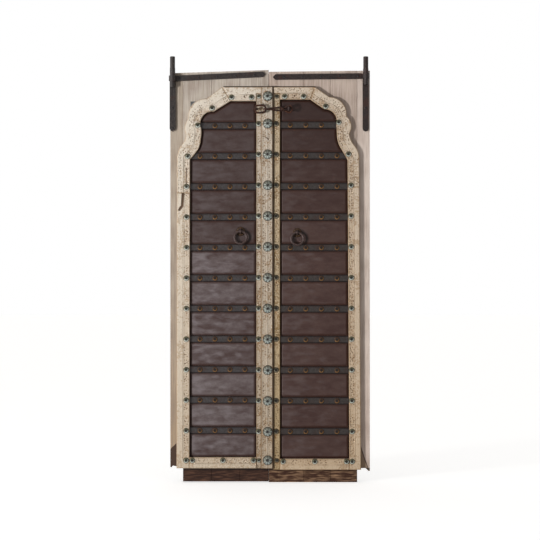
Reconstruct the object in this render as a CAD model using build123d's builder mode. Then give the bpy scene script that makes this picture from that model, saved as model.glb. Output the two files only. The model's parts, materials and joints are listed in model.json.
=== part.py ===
from build123d import *
import os
from math import atan2, cos, degrees, pi, radians, sin

os.makedirs("parts", exist_ok=True)

# A closed pair of carved pivot door leaves, in millimetres.
# X runs to the viewer's right, Z up, and the front faces -Y.
# The origin lies on the floor line, in the middle of the pair.

# Leaves
joint_x = -4.0
joint_gap = 1.0
leaf_width = {"left": 492.5, "right": 506.5}
top_at_pivot = {"left": 2050.0, "right": 2063.0}
top_at_joint = {"left": 2066.0, "right": 2057.0}
board_foot = {"left": 4.0, "right": 0.0}
plank_foot = {"left": 76.0, "right": 67.0}
plank_width = 63.0
joint_board_width = 43.0
field_boards = 3
board_thickness = 40.0
board_front = 5.0
board_gap = 0.6
board_chamfer = 2.0

# Battens across the back
ledge_count = 5
ledge_lowest = 215.0
ledge_pitch = 400.0
ledge_height = 75.0
ledge_thickness = 30.0
ledge_setback = 22.0
ledge_chamfer = 3.0

# Carved border: places are measured from the arch head and the border's outer corner
head_top = 1978.0
head_height = {"left": 69.0, "right": 61.5}
border_outer_top = {"left": -462.0, "right": 448.5}
border_outer_foot = {"left": -465.0, "right": 457.5}
border_foot = {"left": 72.0, "right": 64.5}
stile_width = {"left": 64.0, "right": 57.5}
rail_height = 54.0
stile_top = {"left": 1448.0, "right": 1478.0}
border_thickness = 22.0
border_gap = 0.8
outer_band_width = 31.0
bay_rim = 4.0
bay_depth = 3.0
pad_rim = 7.0

# Cover strip over the joint, and the strips beside it
astragal_width = 55.0
astragal_thickness = 30.0
astragal_overlap = 19.0
astragal_rebate = 0.8
astragal_chamfer = 3.0
strip_width = {"left": 24.5, "right": 31.5}
strip_clearance = {"left": 0.8, "right": 6.0}
strip_thickness = 18.0
strip_top = 1946.0
strip_bay_rim = 5.0
strip_bay_depth = 2.0

# Iron sheets and straps
strap_count = 11
strap_top_z = {"left": 1785.5, "right": 1789.0}
strap_pitch = {"left": 152.5, "right": 153.4}
strap_height = 31.0
strap_thickness = 6.0
strap_chamfer = 1.5
sheet_thickness = 3.0
dish_height = 5.0
dish_margin = 16.0
dish_slope = 9.0
field_clearance = 1.0
sheet_gap = 2.0

# Studs, nails and bosses
head_sides = 8
stud_radius = 13.5
stud_height = 7.0
stud_pitch = {"left": 75.0, "right": 78.0}
studs_per_strap = 4
first_stud_inset = {"left": 58.0, "right": 51.0}
nail_radius = 13.5
nail_height = 8.0
rail_nail_inset = 15.0
strip_nail_head_z = 1931.0
strip_nail_foot_z = 111.0
strip_nail_shift = {"left": 2.0, "right": -4.0}
strip_end_nail_radius = 10.5
strip_end_nail_height = 6.0
boss_radius = 24.0
boss_height = 12.0
boss_petals = 8
boss_valley = 2.5
boss_first_z = 1795.0
boss_pitch = 153.9
boss_head_z = 1932.0
boss_foot_z = 113.5
boss_shift = 3.5

# Top irons
pivot_inset = {"left": 12.0, "right": 21.5}
pivot_radius = 12.5
journal_radius = 13.5
pivot_top = 2131.0
pivot_chamfer = 2.0
pivot_shoulder = 8.0
eye_clearance = 0.3
neck_clearance = 1.0
eye_wall = 4.5
eye_height = 27.0
eye_z = {"left": 2022.0, "right": 2035.0}
top_strap_rise = {"left": 22.0, "right": -5.0}
top_strap_height = 28.0
top_strap_thickness = 6.0
top_strap_tip = 13.0
top_strap_stop = {"left": 15.0, "right": 20.0}
pivot_iron_width = 30.0
pivot_iron_thickness = 9.0
pivot_iron_foot = 1757.0
iron_nail_radius = 6.0
iron_nail_height = 3.0
iron_nail_count = 5
iron_nail_start = 0.4
pivot_nail_z = (1773.0, 1875.0)

# Round iron is forged with eight sides and bent in short flats
bar_sides = 8
flat_angle = 30.0
ring_flat_angle = 22.5

# Pull rings
ring_x = {"left": -145.0, "right": 139.0}
ring_z = {"left": 1226.0, "right": 1219.5}
ring_radius = 31.0
ring_wire = 5.5
ring_stand = 15.0
ring_clearance = 0.8
pull_staple_wire = 3.5
rosette_radius = 24.0
rosette_thickness = 4.0
rosette_petals = 8
rosette_valley = 3.5

# Chain latch
latch_z = 1866.0
latch_lift = 0.8
latch_wire = 3.75
latch_eye = 8.7
latch_staple_x = -69.5
link_a_wire = 4.25
link_a_length = 51.5
link_a_height = 37.0
link_a_corner = 9.0
link_b_length = 74.75
link_c_eye = 18.0
link_c_length = 29.5
keeper_wire = 3.5
keeper_eye = 9.0
keeper_lead = 1.75

# Iron patch beside the left haunch, measured as the border is
patch_corners = [(66.0, 70.0), (92.0, 70.0), (75.0, 82.0), (66.0, 98.0)]
patch_thickness = 2.0

# The cusped border: each step is (arc's middle or None, end), as (across, down)
outer_head = {"left": (224.0, 0.0), "right": (221.0, 0.0)}
outer_steps = {
    "left": [
        (None, (149.0, 58.0)),
        ((81.0, 85.0), (57.0, 156.0)),
        ((40.0, 192.0), (45.0, 236.0)),
        ((39.0, 263.0), (26.0, 286.0)),
        ((8.0, 317.0), (0.0, 353.0)),
    ],
    "right": [
        (None, (148.0, 50.0)),
        ((84.0, 79.0), (64.0, 145.0)),
        ((40.0, 185.0), (50.0, 233.0)),
        ((42.0, 262.0), (27.0, 288.0)),
        ((6.0, 321.0), (0.0, 365.0)),
    ],
}
inner_head = {"left": (267.0, 69.0), "right": (244.0, 61.5)}
inner_steps = {
    "left": [
        (None, (184.0, 121.0)),
        ((134.0, 138.0), (119.0, 203.0)),
        ((121.0, 228.0), (118.0, 255.0)),
        ((113.0, 288.0), (102.0, 314.0)),
        ((86.0, 336.0), (64.0, 360.0)),
    ],
    "right": [
        (None, (174.0, 110.0)),
        ((132.0, 124.0), (114.0, 185.0)),
        ((112.0, 210.0), (111.0, 240.0)),
        ((103.0, 280.0), (86.0, 313.0)),
        ((72.0, 338.0), (57.5, 365.0)),
    ],
}

# Nails of the arch: across the head, at two of its cusps, and one above the straight edge
head_nails = {"left": (272.0, 372.0), "right": (278.0, 373.0)}
cusp_nails = (0, 1)
haunch_nail = {"left": (53.0, 346.0), "right": (54.0, 335.0)}

sides = ("left", "right")
outward = {"left": -1.0, "right": 1.0}


# Places worked out from the sizes above
def front(height):
    """The plane that lies this far in front of the boards."""
    return Plane.XZ.offset(board_front + height)


joint_edge = {side: joint_x + outward[side] * joint_gap / 2 for side in sides}
outer_edge = {side: joint_edge[side] + outward[side] * leaf_width[side] for side in sides}
pivot_x = {side: outer_edge[side] - outward[side] * pivot_inset[side] for side in sides}
eye_inner = journal_radius + eye_clearance
eye_outer = eye_inner + eye_wall
pivot_front = eye_outer + eye_clearance
pivot_y = -board_front - pivot_front

astragal_right = joint_x + astragal_overlap
astragal_left = astragal_right - astragal_width
strip_inner = {
    "left": astragal_left - strip_clearance["left"],
    "right": astragal_right + strip_clearance["right"],
}
strip_outer = {side: strip_inner[side] + outward[side] * strip_width[side] for side in sides}

rows = range(strap_count)
strap_z = {side: [strap_top_z[side] - strap_pitch[side] * row for row in rows] for side in sides}
boss_z = [boss_first_z - boss_pitch * row for row in rows]
stile_nail_z = {"left": strap_z["left"], "right": boss_z}
rail_top = {side: border_foot[side] + rail_height for side in sides}
sheet_front = sheet_thickness + dish_height


def border_point(side, across, down):
    """A point of the border from its distance across and down from the outer corner."""
    return (border_outer_top[side] - outward[side] * across, head_top - down)


def between(share, outer_place, inner_place):
    """The place that lies this share of the way from the outer edge to the inner one."""
    return [a + (b - a) * share for a, b in zip(outer_place, inner_place)]


def cusped_outline(side, share, strip_margin=0.0):
    """What a line through the border encloses; share 0 is its outer edge, 1 its inner."""
    head = border_point(side, *between(share, outer_head[side], inner_head[side]))
    strip_x = strip_outer[side] + outward[side] * strip_margin
    foot_x = border_outer_foot[side] - outward[side] * stile_width[side] * share
    foot_z = border_foot[side] + rail_height * share
    head_z = head[1]
    with BuildSketch() as outline:
        with BuildLine():
            start = head
            for outer_step, inner_step in zip(outer_steps[side], inner_steps[side]):
                stop = border_point(side, *between(share, outer_step[1], inner_step[1]))
                if outer_step[0] is None:
                    Line(start, stop)
                else:
                    middle = border_point(side, *between(share, outer_step[0], inner_step[0]))
                    ThreePointArc(start, middle, stop)
                start = stop
            Polyline(start, (foot_x, foot_z), (strip_x, foot_z), (strip_x, head_z), head)
        make_face()
    return outline.sketch


def field_share(side, margin):
    """The share that lies this margin inside the field."""
    return 1.0 + margin / stile_width[side]


def finish(part, name):
    """Label a finished piece and write its file."""
    part.part.label = name
    export_step(part.part, f"parts/{name}.step")


# Forged round iron
def bend_corners(centre, normal, start_dir, radius, turn, step=flat_angle):
    """Corners of the flats round a bend; its end flats run on as straight bars."""
    turn_axis = Axis((0, 0, 0), normal)
    flats = round(turn / step)
    reach = radius / cos(radians(turn / flats / 2))
    spokes = [
        Vector(*start_dir).rotate(turn_axis, turn * (count + 0.5) / flats)
        for count in range(flats)
    ]
    return [Vector(*centre) + spoke * reach for spoke in spokes]


def forged_bar(corners, radius):
    """A bar through these corners, mitred where it bends."""
    corners = [Vector(*corner) for corner in corners]
    with BuildPart() as bar:
        with BuildLine() as run:
            Polyline(*corners)
        with BuildSketch(Plane(origin=corners[0], z_dir=corners[1] - corners[0])) as section:
            RegularPolygon(radius, bar_sides)
        sweep(section.sketch, path=run.line, transition=Transition.RIGHT)
    return bar.part


# Heads that are hammered to facets
def rim_points(radius, corners, valley=0.0):
    """Corners of a rim; with a valley, every second one is drawn in to part the petals."""
    points = []
    for corner in range(corners):
        reach = radius - valley * (corner % 2)
        angle = 2 * pi * corner / corners
        points.append((reach * cos(angle), reach * sin(angle)))
    return points


def hammered_head(rim, height):
    """A head that rises from its rim to a point."""
    with BuildPart() as head:
        with BuildSketch() as foot:
            Polygon(*rim, align=None)
        loft([foot.sketch.face(), Vertex(0, 0, height)], ruled=True)
    return head.part


def nail_heads(name, seat, *groups):
    """Rose heads on a flat seat; each group is its places, radius and height."""
    made = [hammered_head(rim_points(radius, head_sides), height) for _, radius, height in groups]
    with BuildPart(front(seat)) as heads:
        for head, (points, _, _) in zip(made, groups):
            with Locations(*points):
                add(head)
    finish(heads, name)


# Boards and battens
def build_board(name, x_from, x_to, foot, top_from, top_to):
    """One upright board with its front and back edges eased."""
    with BuildPart() as board:
        with BuildSketch(front(0.0)):
            Polygon((x_from, foot), (x_to, foot), (x_to, top_to), (x_from, top_from), align=None)
        extrude(amount=-board_thickness)
        chamfer(board.edges().filter_by(Axis.Z), board_chamfer)
    finish(board, name)


def leaf_top(side, x):
    """Height of the sloping top edge at a place across the leaf."""
    share = (x - joint_edge[side]) / (outer_edge[side] - joint_edge[side])
    return top_at_joint[side] + share * (top_at_pivot[side] - top_at_joint[side])


def build_boards(side):
    """The hanging plank and the field boards, side by side."""
    sign = outward[side]
    seams = [outer_edge[side], outer_edge[side] - sign * plank_width]
    last = joint_edge[side] + sign * (joint_board_width if side == "right" else 0.0)
    step = (last - seams[-1]) / field_boards
    seams += [seams[1] + step * (count + 1) for count in range(field_boards)]
    if side == "right":
        seams.append(joint_edge[side])
    for count in range(len(seams) - 1):
        shrink = 0.0 if count == 0 else board_gap
        x_from = seams[count] - sign * shrink
        x_to = seams[count + 1]
        foot = plank_foot[side] if count == 0 else board_foot[side]
        name = f"{side}_outer_plank" if count == 0 else f"{side}_board_{count}"
        build_board(name, x_from, x_to, foot, leaf_top(side, x_from), leaf_top(side, x_to))


def build_ledges(side):
    """Battens across the back that hold the boards together."""
    x_out = outer_edge[side] - outward[side] * ledge_setback
    x_in = joint_edge[side] + outward[side] * ledge_setback
    with BuildPart() as ledges:
        with BuildSketch(front(-board_thickness)):
            with GridLocations(0.0, ledge_pitch, 1, ledge_count):
                middle_z = ledge_lowest + ledge_pitch * (ledge_count - 1) / 2
                with Locations(((x_out + x_in) / 2, middle_z)):
                    Rectangle(abs(x_out - x_in), ledge_height)
        extrude(amount=-ledge_thickness)
        back_edges = ledges.faces().group_by(Axis.Y)[-1].edges()
        chamfer(back_edges, ledge_chamfer)
    finish(ledges, f"{side}_ledges")


# Carved border
def border_nail_points(side):
    """Places of the large nails, down the middle of the border's carved band."""
    sign = outward[side]
    share = (stile_width[side] + outer_band_width) / 2 / stile_width[side]
    head_down = head_height[side] * share
    places = [(across, head_down) for across in head_nails[side]]
    for cusp in cusp_nails:
        places.append(between(share, outer_steps[side][cusp][1], inner_steps[side][cusp][1]))
    points = [border_point(side, *place) for place in places + [haunch_nail[side]]]
    rail_z = border_foot[side] + rail_height * share
    for z in stile_nail_z[side][2:] + [rail_z]:
        fall = (head_top - z) / (head_top - border_foot[side])
        lean = (border_outer_foot[side] - border_outer_top[side]) * fall
        points.append((border_outer_top[side] + lean - sign * stile_width[side] * share, z))
    rail_from = border_outer_foot[side] - sign * (stile_width[side] + rail_nail_inset)
    rail_to = strip_outer[side] + sign * rail_nail_inset
    return points + [(x, rail_z) for x in (rail_from, (rail_from + rail_to) / 2, rail_to)]


def carved_bays(side):
    """Sunk bays along the border, with a plain pad left under each nail."""
    width = stile_width[side]
    with BuildSketch() as bays:
        add(cusped_outline(side, (outer_band_width + bay_rim) / width))
        add(cusped_outline(side, (width - bay_rim) / width), mode=Mode.SUBTRACT)
        with Locations(*border_nail_points(side)):
            RegularPolygon(nail_radius + pad_rim, head_sides, mode=Mode.SUBTRACT)
    return bays.sketch


def border_piece(name, border, bays, mask):
    """The part of the border inside a mask, with its bays cut in."""
    with BuildPart() as piece:
        with BuildSketch(front(0.0)):
            add(border)
            add(mask, mode=Mode.INTERSECT)
        extrude(amount=border_thickness)
        with BuildSketch(front(border_thickness)):
            add(bays)
            add(mask, mode=Mode.INTERSECT)
        extrude(amount=-bay_depth, mode=Mode.SUBTRACT)
    finish(piece, name)


def build_border(side):
    """The upright, haunch, head and bottom rail of one leaf's border."""
    sign = outward[side]
    inner_x = strip_outer[side]
    head_x = strip_inner[side]
    strip_end = strip_top + border_gap
    with BuildSketch() as border:
        add(cusped_outline(side, 0.0))
        add(cusped_outline(side, 1.0), mode=Mode.SUBTRACT)
        with Locations(((inner_x + head_x) / 2, (strip_end + head_top) / 2)):
            Rectangle(abs(inner_x - head_x), head_top - strip_end)
    bays = carved_bays(side)
    far_x = outer_edge[side]
    stile_x = border_outer_foot[side] - sign * stile_width[side]
    stile_end = border_outer_top[side] - sign * stile_width[side]
    low = border_foot[side] - border_gap
    high = head_top + border_gap
    mitre_top = border_point(side, *outer_head[side])
    mitre_foot = border_point(side, *inner_head[side])
    with BuildSketch() as stile_mask:
        joint_z = stile_top[side]
        Polygon(
            (far_x, low), (stile_x, low), (stile_end, joint_z), (far_x, joint_z), align=None
        )
    with BuildSketch() as haunch_mask:
        joint_z = stile_top[side] + border_gap
        Polygon(
            (far_x, joint_z),
            (mitre_foot[0], joint_z),
            mitre_foot,
            mitre_top,
            (mitre_top[0], high),
            (far_x, high),
            align=None,
        )
    with BuildSketch() as head_mask:
        slide = -sign * border_gap
        Polygon(
            (mitre_foot[0] + slide, mitre_foot[1] - border_gap),
            (inner_x, mitre_foot[1] - border_gap),
            (inner_x, strip_end),
            (head_x, strip_end),
            (head_x, high),
            (mitre_top[0] + slide, high),
            align=None,
        )
    with BuildSketch() as rail_mask:
        Polygon(
            (stile_x - sign * border_gap, low),
            (inner_x, low),
            (inner_x, rail_top[side] + border_gap),
            (stile_x - sign * border_gap, rail_top[side] + border_gap),
            align=None,
        )
    border_piece(f"{side}_stile_trim", border.sketch, bays, stile_mask.sketch)
    border_piece(f"{side}_haunch_trim", border.sketch, bays, haunch_mask.sketch)
    border_piece(f"{side}_head_trim", border.sketch, bays, head_mask.sketch)
    border_piece(f"{side}_rail_trim", border.sketch, bays, rail_mask.sketch)


def strip_middle(side):
    """Middle line of the strip beside the cover strip."""
    return (strip_inner[side] + strip_outer[side]) / 2


def build_strip(side):
    """The upright strip beside the cover strip, with a sunk bay between its nails."""
    heights = [strip_nail_head_z] + boss_z + [strip_nail_foot_z]
    middle_x = strip_middle(side)
    bay_width = strip_width[side] - 2 * strip_bay_rim
    bay_ends = nail_radius + pad_rim
    with BuildPart() as strip:
        with BuildSketch(front(0.0)):
            with Locations((middle_x, (border_foot[side] + strip_top) / 2)):
                Rectangle(strip_width[side], strip_top - border_foot[side])
        extrude(amount=strip_thickness)
        with BuildSketch(front(strip_thickness)):
            for above, below in zip(heights[:-1], heights[1:]):
                with Locations((middle_x, (above + below) / 2)):
                    Rectangle(bay_width, above - below - 2 * bay_ends)
        extrude(amount=-strip_bay_depth, mode=Mode.SUBTRACT)
    finish(strip, f"{side}_inner_strip")


# Iron sheets, straps and their studs
def build_sheets(side):
    """Twelve sheets, each lapped by the straps and dished up between them."""
    levels = [
        (sheet_thickness, dish_margin, strap_height + sheet_gap),
        (sheet_front, dish_margin + dish_slope, strap_height + sheet_gap + 2 * dish_slope),
    ]
    limits = [head_top] + strap_z[side] + [border_foot[side]]
    middle_x = (outer_edge[side] + joint_edge[side]) / 2
    field = cusped_outline(side, field_share(side, field_clearance), field_clearance)
    dishes = [cusped_outline(side, field_share(side, level[1]), level[1]) for level in levels]
    with BuildPart() as sheets:
        for above, below in zip(limits[:-1], limits[1:]):
            middle = (middle_x, (above + below) / 2)
            with BuildSketch(front(0.0)):
                with Locations(middle):
                    Rectangle(leaf_width[side], above - below - sheet_gap)
                add(field, mode=Mode.INTERSECT)
            extrude(amount=sheet_thickness)
            for (height, _, lap), dish in zip(levels, dishes):
                with BuildSketch(front(height)):
                    with Locations(middle):
                        Rectangle(leaf_width[side], above - below - lap)
                    add(dish, mode=Mode.INTERSECT)
            loft(ruled=True)
    finish(sheets, f"{side}_panels")


def build_straps(side):
    """Flat straps nailed across the laps of the sheets."""
    field = cusped_outline(side, field_share(side, field_clearance), field_clearance)
    middle_x = (outer_edge[side] + joint_edge[side]) / 2
    with BuildPart() as straps:
        with BuildSketch(front(sheet_thickness)):
            with Locations(*[(middle_x, z) for z in strap_z[side]]):
                Rectangle(leaf_width[side], strap_height)
            add(field, mode=Mode.INTERSECT)
        extrude(amount=strap_thickness)
        front_edges = straps.faces().group_by(Axis.Y)[0].edges()
        chamfer(front_edges.filter_by(Axis.X), strap_chamfer)
    finish(straps, f"{side}_straps")


def build_strap_studs(side):
    """Studs along each strap; the arch leaves out the outermost one of the top strap."""
    sign = outward[side]
    count_from_joint = range(studs_per_strap)
    first_x = strip_outer[side] + sign * first_stud_inset[side]
    points = []
    for row, z in enumerate(strap_z[side]):
        kept = studs_per_strap - 1 if row == 0 else studs_per_strap
        reaches = [sign * stud_pitch[side] * count for count in count_from_joint[:kept]]
        points += [(first_x + reach, z) for reach in reaches]
    seat = sheet_thickness + strap_thickness
    nail_heads(f"{side}_strap_studs", seat, (points, stud_radius, stud_height))


def build_border_nails(side):
    """Large nails of the border and of the strip."""
    border_nails = (border_nail_points(side), nail_radius, nail_height)
    nail_heads(f"{side}_trim_nails", border_thickness, border_nails)
    middle_x = strip_middle(side)
    row_x = middle_x + outward[side] * strip_nail_shift[side]
    row_points = [(row_x, z) for z in boss_z]
    end_points = [(middle_x, z) for z in (strip_nail_head_z, strip_nail_foot_z)]
    row_nails = (row_points, nail_radius, nail_height)
    end_nails = (end_points, strip_end_nail_radius, strip_end_nail_height)
    nail_heads(f"{side}_strip_nails", strip_thickness, row_nails, end_nails)


# Top irons
def build_pivot_iron(side):
    """An upright iron whose top is drawn out into the round pivot."""
    x = pivot_x[side]
    neck = eye_z[side] - top_strap_height / 2 - neck_clearance
    foot_centre = pivot_iron_foot + pivot_iron_width / 2
    shoulder = max(top_at_pivot[side], top_at_joint[side]) + pivot_shoulder
    with BuildPart() as iron:
        with BuildSketch(front(0.0)):
            with Locations((x, (neck + foot_centre) / 2)):
                Rectangle(pivot_iron_width, neck - foot_centre)
            with Locations((x, foot_centre)):
                RegularPolygon(pivot_iron_width / 2, head_sides)
        extrude(amount=pivot_iron_thickness)
        with BuildSketch(Plane.XY.offset(neck - pivot_iron_width)):
            with Locations((x, pivot_y)):
                RegularPolygon(journal_radius, head_sides)
        extrude(amount=shoulder - neck + pivot_iron_width)
        with BuildSketch(Plane.XY.offset(shoulder)):
            with Locations((x, pivot_y)):
                Circle(pivot_radius)
        extrude(amount=pivot_top - shoulder)
        chamfer(iron.faces().sort_by(Axis.Z)[-1].edges(), pivot_chamfer)
    finish(iron, f"{side}_pivot_iron")


def top_strap_direction(side):
    """Reach across the leaf and tilt of the top strap, from its eye to its tip."""
    run = joint_edge[side] + outward[side] * top_strap_stop[side] - pivot_x[side]
    return run, degrees(atan2(top_strap_rise[side], abs(run))) * -outward[side]


def build_top_strap(side):
    """The strap across the top, rolled at its end into an eye round the pivot."""
    sign = outward[side]
    run, tilt = top_strap_direction(side)
    length = run / cos(radians(tilt))
    tip_start = length + sign * top_strap_tip
    half = top_strap_height / 2
    corners = [(0, -half), (tip_start, -half), (length, 0), (tip_start, half), (0, half)]
    with BuildPart() as strap:
        with BuildSketch(front(0.0)):
            with Locations(Location((pivot_x[side], eye_z[side], 0), (0, 0, tilt))):
                Polygon(*corners, align=None)
        extrude(amount=top_strap_thickness)
        with BuildSketch(Plane.XY.offset(eye_z[side] - eye_height / 2)):
            with Locations((pivot_x[side], pivot_y)):
                RegularPolygon(eye_outer, head_sides)
        extrude(amount=eye_height)
        with BuildSketch(Plane.XY.offset(eye_z[side] - eye_height)):
            with Locations((pivot_x[side], pivot_y)):
                RegularPolygon(eye_inner, head_sides)
        extrude(amount=2 * eye_height, mode=Mode.SUBTRACT)
    finish(strap, f"{side}_top_strap")


def build_iron_nails(side):
    """Small nails of the top strap and of the upright iron."""
    run, _ = top_strap_direction(side)
    shares = [(count + iron_nail_start) / iron_nail_count for count in range(iron_nail_count)]
    strap_points = [
        (pivot_x[side] + run * share, eye_z[side] + top_strap_rise[side] * share)
        for share in shares
    ]
    iron_points = [(pivot_x[side], z) for z in pivot_nail_z]
    head = hammered_head(rim_points(iron_nail_radius, head_sides), iron_nail_height)
    with BuildPart() as nails:
        with Locations(front(top_strap_thickness)):
            with Locations(*strap_points):
                add(head)
        with Locations(front(pivot_iron_thickness)):
            with Locations(*iron_points):
                add(head)
    finish(nails, f"{side}_iron_nails")


# Pull rings
def build_pull(side):
    """A ring hanging in a staple that stands out of a petalled plate."""
    x = ring_x[side]
    hang_z = ring_z[side] + ring_radius
    plate_front = sheet_front + rosette_thickness
    ring_y = -board_front - sheet_front - ring_stand
    bow = ring_wire + ring_clearance + pull_staple_wire
    with BuildPart() as rosette:
        with BuildSketch(front(sheet_front)):
            with Locations((x, hang_z)):
                Polygon(*rim_points(rosette_radius, 2 * rosette_petals, rosette_valley), align=None)
        extrude(amount=rosette_thickness)
    finish(rosette, f"{side}_pull_rosette")
    hang = Vector(x, ring_y, hang_z)
    foot_y = -board_front - plate_front
    staple_corners = bend_corners(hang, (1, 0, 0), (0, 0, 1), bow, 180.0)
    staple_ends = [Vector(x, foot_y, hang_z + turn * bow) for turn in (1.0, -1.0)]
    with BuildPart() as staple:
        add(forged_bar([staple_ends[0], *staple_corners, staple_ends[1]], pull_staple_wire))
    finish(staple, f"{side}_pull_staple")
    centre = Vector(x, ring_y, ring_z[side])
    drop = Vector(0, 0, ring_radius)
    round_half = bend_corners(centre, (0, 1, 0), (0, 0, 1), ring_radius, 180.0, ring_flat_angle)
    half_ring = forged_bar([centre + drop, *round_half, centre - drop], ring_wire)
    with BuildPart() as ring:
        add(half_ring)
        add(half_ring.mirror(Plane.YZ.offset(x)))
    finish(ring, f"{side}_pull_ring")


# Chain latch: three links in a row along X, each turning about an upright wire
latch_y = -board_front - astragal_thickness - latch_lift - latch_eye - latch_wire
hinge_a_x = latch_staple_x
hinge_b_x = hinge_a_x + link_a_length
hinge_c_x = hinge_b_x + link_b_length + latch_eye
keeper_x = hinge_c_x + link_c_length


def build_latch_staple():
    """The staple that holds the chain, one leg in the strip and one in the sheet."""
    centre = Vector(hinge_a_x, latch_y, latch_z)
    corners = bend_corners(centre, (0, 0, 1), (-1, 0, 0), latch_eye, 180.0)
    in_sheet = Vector(hinge_a_x - latch_eye, -board_front - sheet_thickness, latch_z)
    in_strip = Vector(hinge_a_x + latch_eye, -board_front - strip_thickness, latch_z)
    with BuildPart() as staple:
        add(forged_bar([in_sheet, *corners, in_strip], latch_wire))
    finish(staple, "latch_staple")


def build_link_a():
    """The D-shaped link: straight at the staple, round where the next link hooks in."""
    half = link_a_height / 2
    corner = link_a_corner
    square = (hinge_a_x + corner, latch_y, latch_z + half - corner)
    round_end = (hinge_b_x - half, latch_y, latch_z)
    square_corners = bend_corners(square, (0, 1, 0), (-1, 0, 0), corner, 90.0)
    round_corners = bend_corners(round_end, (0, 1, 0), (0, 0, 1), half, 90.0)
    near = (hinge_a_x, latch_y, latch_z)
    far = (hinge_b_x, latch_y, latch_z)
    upper = forged_bar([near, *square_corners, *round_corners, far], link_a_wire)
    with BuildPart() as link:
        add(upper)
        add(upper.mirror(Plane.XY.offset(latch_z)))
    finish(link, "latch_link_a")


def build_twisted_link(name, near_x, far_x, far_eye):
    """A link twisted a quarter turn: its near eye lies level, its far eye stands up."""
    near = Vector(near_x, latch_y, latch_z)
    far = Vector(far_x, latch_y, latch_z)
    run = [near - Vector(latch_eye, 0, 0)]
    run += bend_corners(near, (0, 0, 1), (-1, 0, 0), latch_eye, 90.0)
    run += [near - Vector(0, latch_eye, 0), far - Vector(0, 0, far_eye)]
    run += bend_corners(far, (0, -1, 0), (0, 0, -1), far_eye, 90.0)
    run += [far + Vector(far_eye, 0, 0)]
    strand = forged_bar(run, latch_wire)
    with BuildPart() as link:
        add(strand)
        add(strand.rotate(Axis(near, (1, 0, 0)), 180.0))
    finish(link, name)


def build_keeper():
    """The staple that the last link hooks over, with room for a pin in front."""
    eye = Vector(keeper_x, latch_y - latch_wire - keeper_lead, latch_z)
    foot_y = -board_front - sheet_front
    corners = bend_corners(eye, (1, 0, 0), (0, 0, 1), keeper_eye, 180.0)
    ends = [Vector(keeper_x, foot_y, latch_z + turn * keeper_eye) for turn in (1.0, -1.0)]
    with BuildPart() as keeper:
        add(forged_bar([ends[0], *corners, ends[1]], keeper_wire))
    finish(keeper, "latch_keeper")


def build_astragal():
    """The cover strip on the left leaf, rebated over the right leaf, and its bosses."""
    middle_x = (astragal_left + astragal_right) / 2
    middle_z = (border_foot["left"] + head_top) / 2
    length = head_top - border_foot["left"]
    with BuildPart() as astragal:
        with BuildSketch(front(0.0)):
            with Locations((middle_x, middle_z)):
                Rectangle(astragal_width, length)
        extrude(amount=astragal_thickness)
        front_face = astragal.faces().sort_by(Axis.Y)[0]
        chamfer(front_face.edges().filter_by(Axis.Z), astragal_chamfer)
        with BuildSketch(front(0.0)):
            with Locations(((joint_x + astragal_right) / 2, middle_z)):
                Rectangle(astragal_overlap, length)
        extrude(amount=astragal_rebate, mode=Mode.SUBTRACT)
    finish(astragal, "astragal")
    heights = [boss_head_z] + boss_z + [boss_foot_z]
    rim = rim_points(boss_radius, 2 * boss_petals, boss_valley)
    boss = hammered_head(rim, boss_height)
    with BuildPart(front(astragal_thickness)) as bosses:
        with Locations(*[(middle_x + boss_shift, z) for z in heights]):
            add(boss)
    finish(bosses, "astragal_bosses")


def build_patch():
    """A small iron patch on the boards, beside the left haunch."""
    with BuildPart() as patch:
        with BuildSketch(front(0.0)):
            Polygon(*[border_point("left", *corner) for corner in patch_corners], align=None)
        extrude(amount=patch_thickness)
    finish(patch, "left_patch")


for side in sides:
    build_boards(side)
    build_ledges(side)
    build_border(side)
    build_sheets(side)
    build_straps(side)
    build_strap_studs(side)
    build_border_nails(side)
    build_pivot_iron(side)
    build_top_strap(side)
    build_iron_nails(side)
    build_pull(side)
    build_strip(side)

build_astragal()
build_patch()
build_latch_staple()
build_link_a()
build_twisted_link("latch_link_b", hinge_b_x, hinge_c_x - latch_eye, latch_eye)
build_twisted_link("latch_link_c", hinge_c_x, keeper_x, link_c_eye)
build_keeper()

print("right leaf pivot", round(pivot_x["right"], 3), round(pivot_y, 3))
print("latch", round(latch_y, 3), [round(x, 3) for x in (hinge_a_x, hinge_b_x, hinge_c_x, keeper_x)])
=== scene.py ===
# %% [markdown]
# # A carved pair of pivot door leaves
# The CAD model gives every piece its place and its exact size. This scene gives the
# pieces what weather, chisels and a forge gave the real ones. We start by loading the
# model.

import json
import math

import bmesh
import bpy
import numpy as np
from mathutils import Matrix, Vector


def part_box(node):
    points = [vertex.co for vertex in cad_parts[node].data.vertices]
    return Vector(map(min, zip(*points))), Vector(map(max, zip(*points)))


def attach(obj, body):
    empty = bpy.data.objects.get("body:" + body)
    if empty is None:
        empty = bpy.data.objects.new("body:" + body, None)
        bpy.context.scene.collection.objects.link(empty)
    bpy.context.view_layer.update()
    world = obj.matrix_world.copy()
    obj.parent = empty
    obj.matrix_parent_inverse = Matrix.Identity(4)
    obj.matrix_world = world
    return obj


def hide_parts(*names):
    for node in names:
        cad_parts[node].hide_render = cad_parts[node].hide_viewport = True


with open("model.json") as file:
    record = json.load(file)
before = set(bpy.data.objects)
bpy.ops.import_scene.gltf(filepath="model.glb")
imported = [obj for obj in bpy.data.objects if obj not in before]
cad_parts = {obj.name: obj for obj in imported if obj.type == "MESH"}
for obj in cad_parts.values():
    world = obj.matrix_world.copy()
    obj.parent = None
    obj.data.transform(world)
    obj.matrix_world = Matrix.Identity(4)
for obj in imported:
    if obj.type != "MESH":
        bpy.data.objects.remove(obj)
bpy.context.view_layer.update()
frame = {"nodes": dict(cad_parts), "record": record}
nodes = frame["nodes"]
bodies = frame["record"]["behaviour"]["bodies"]
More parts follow.
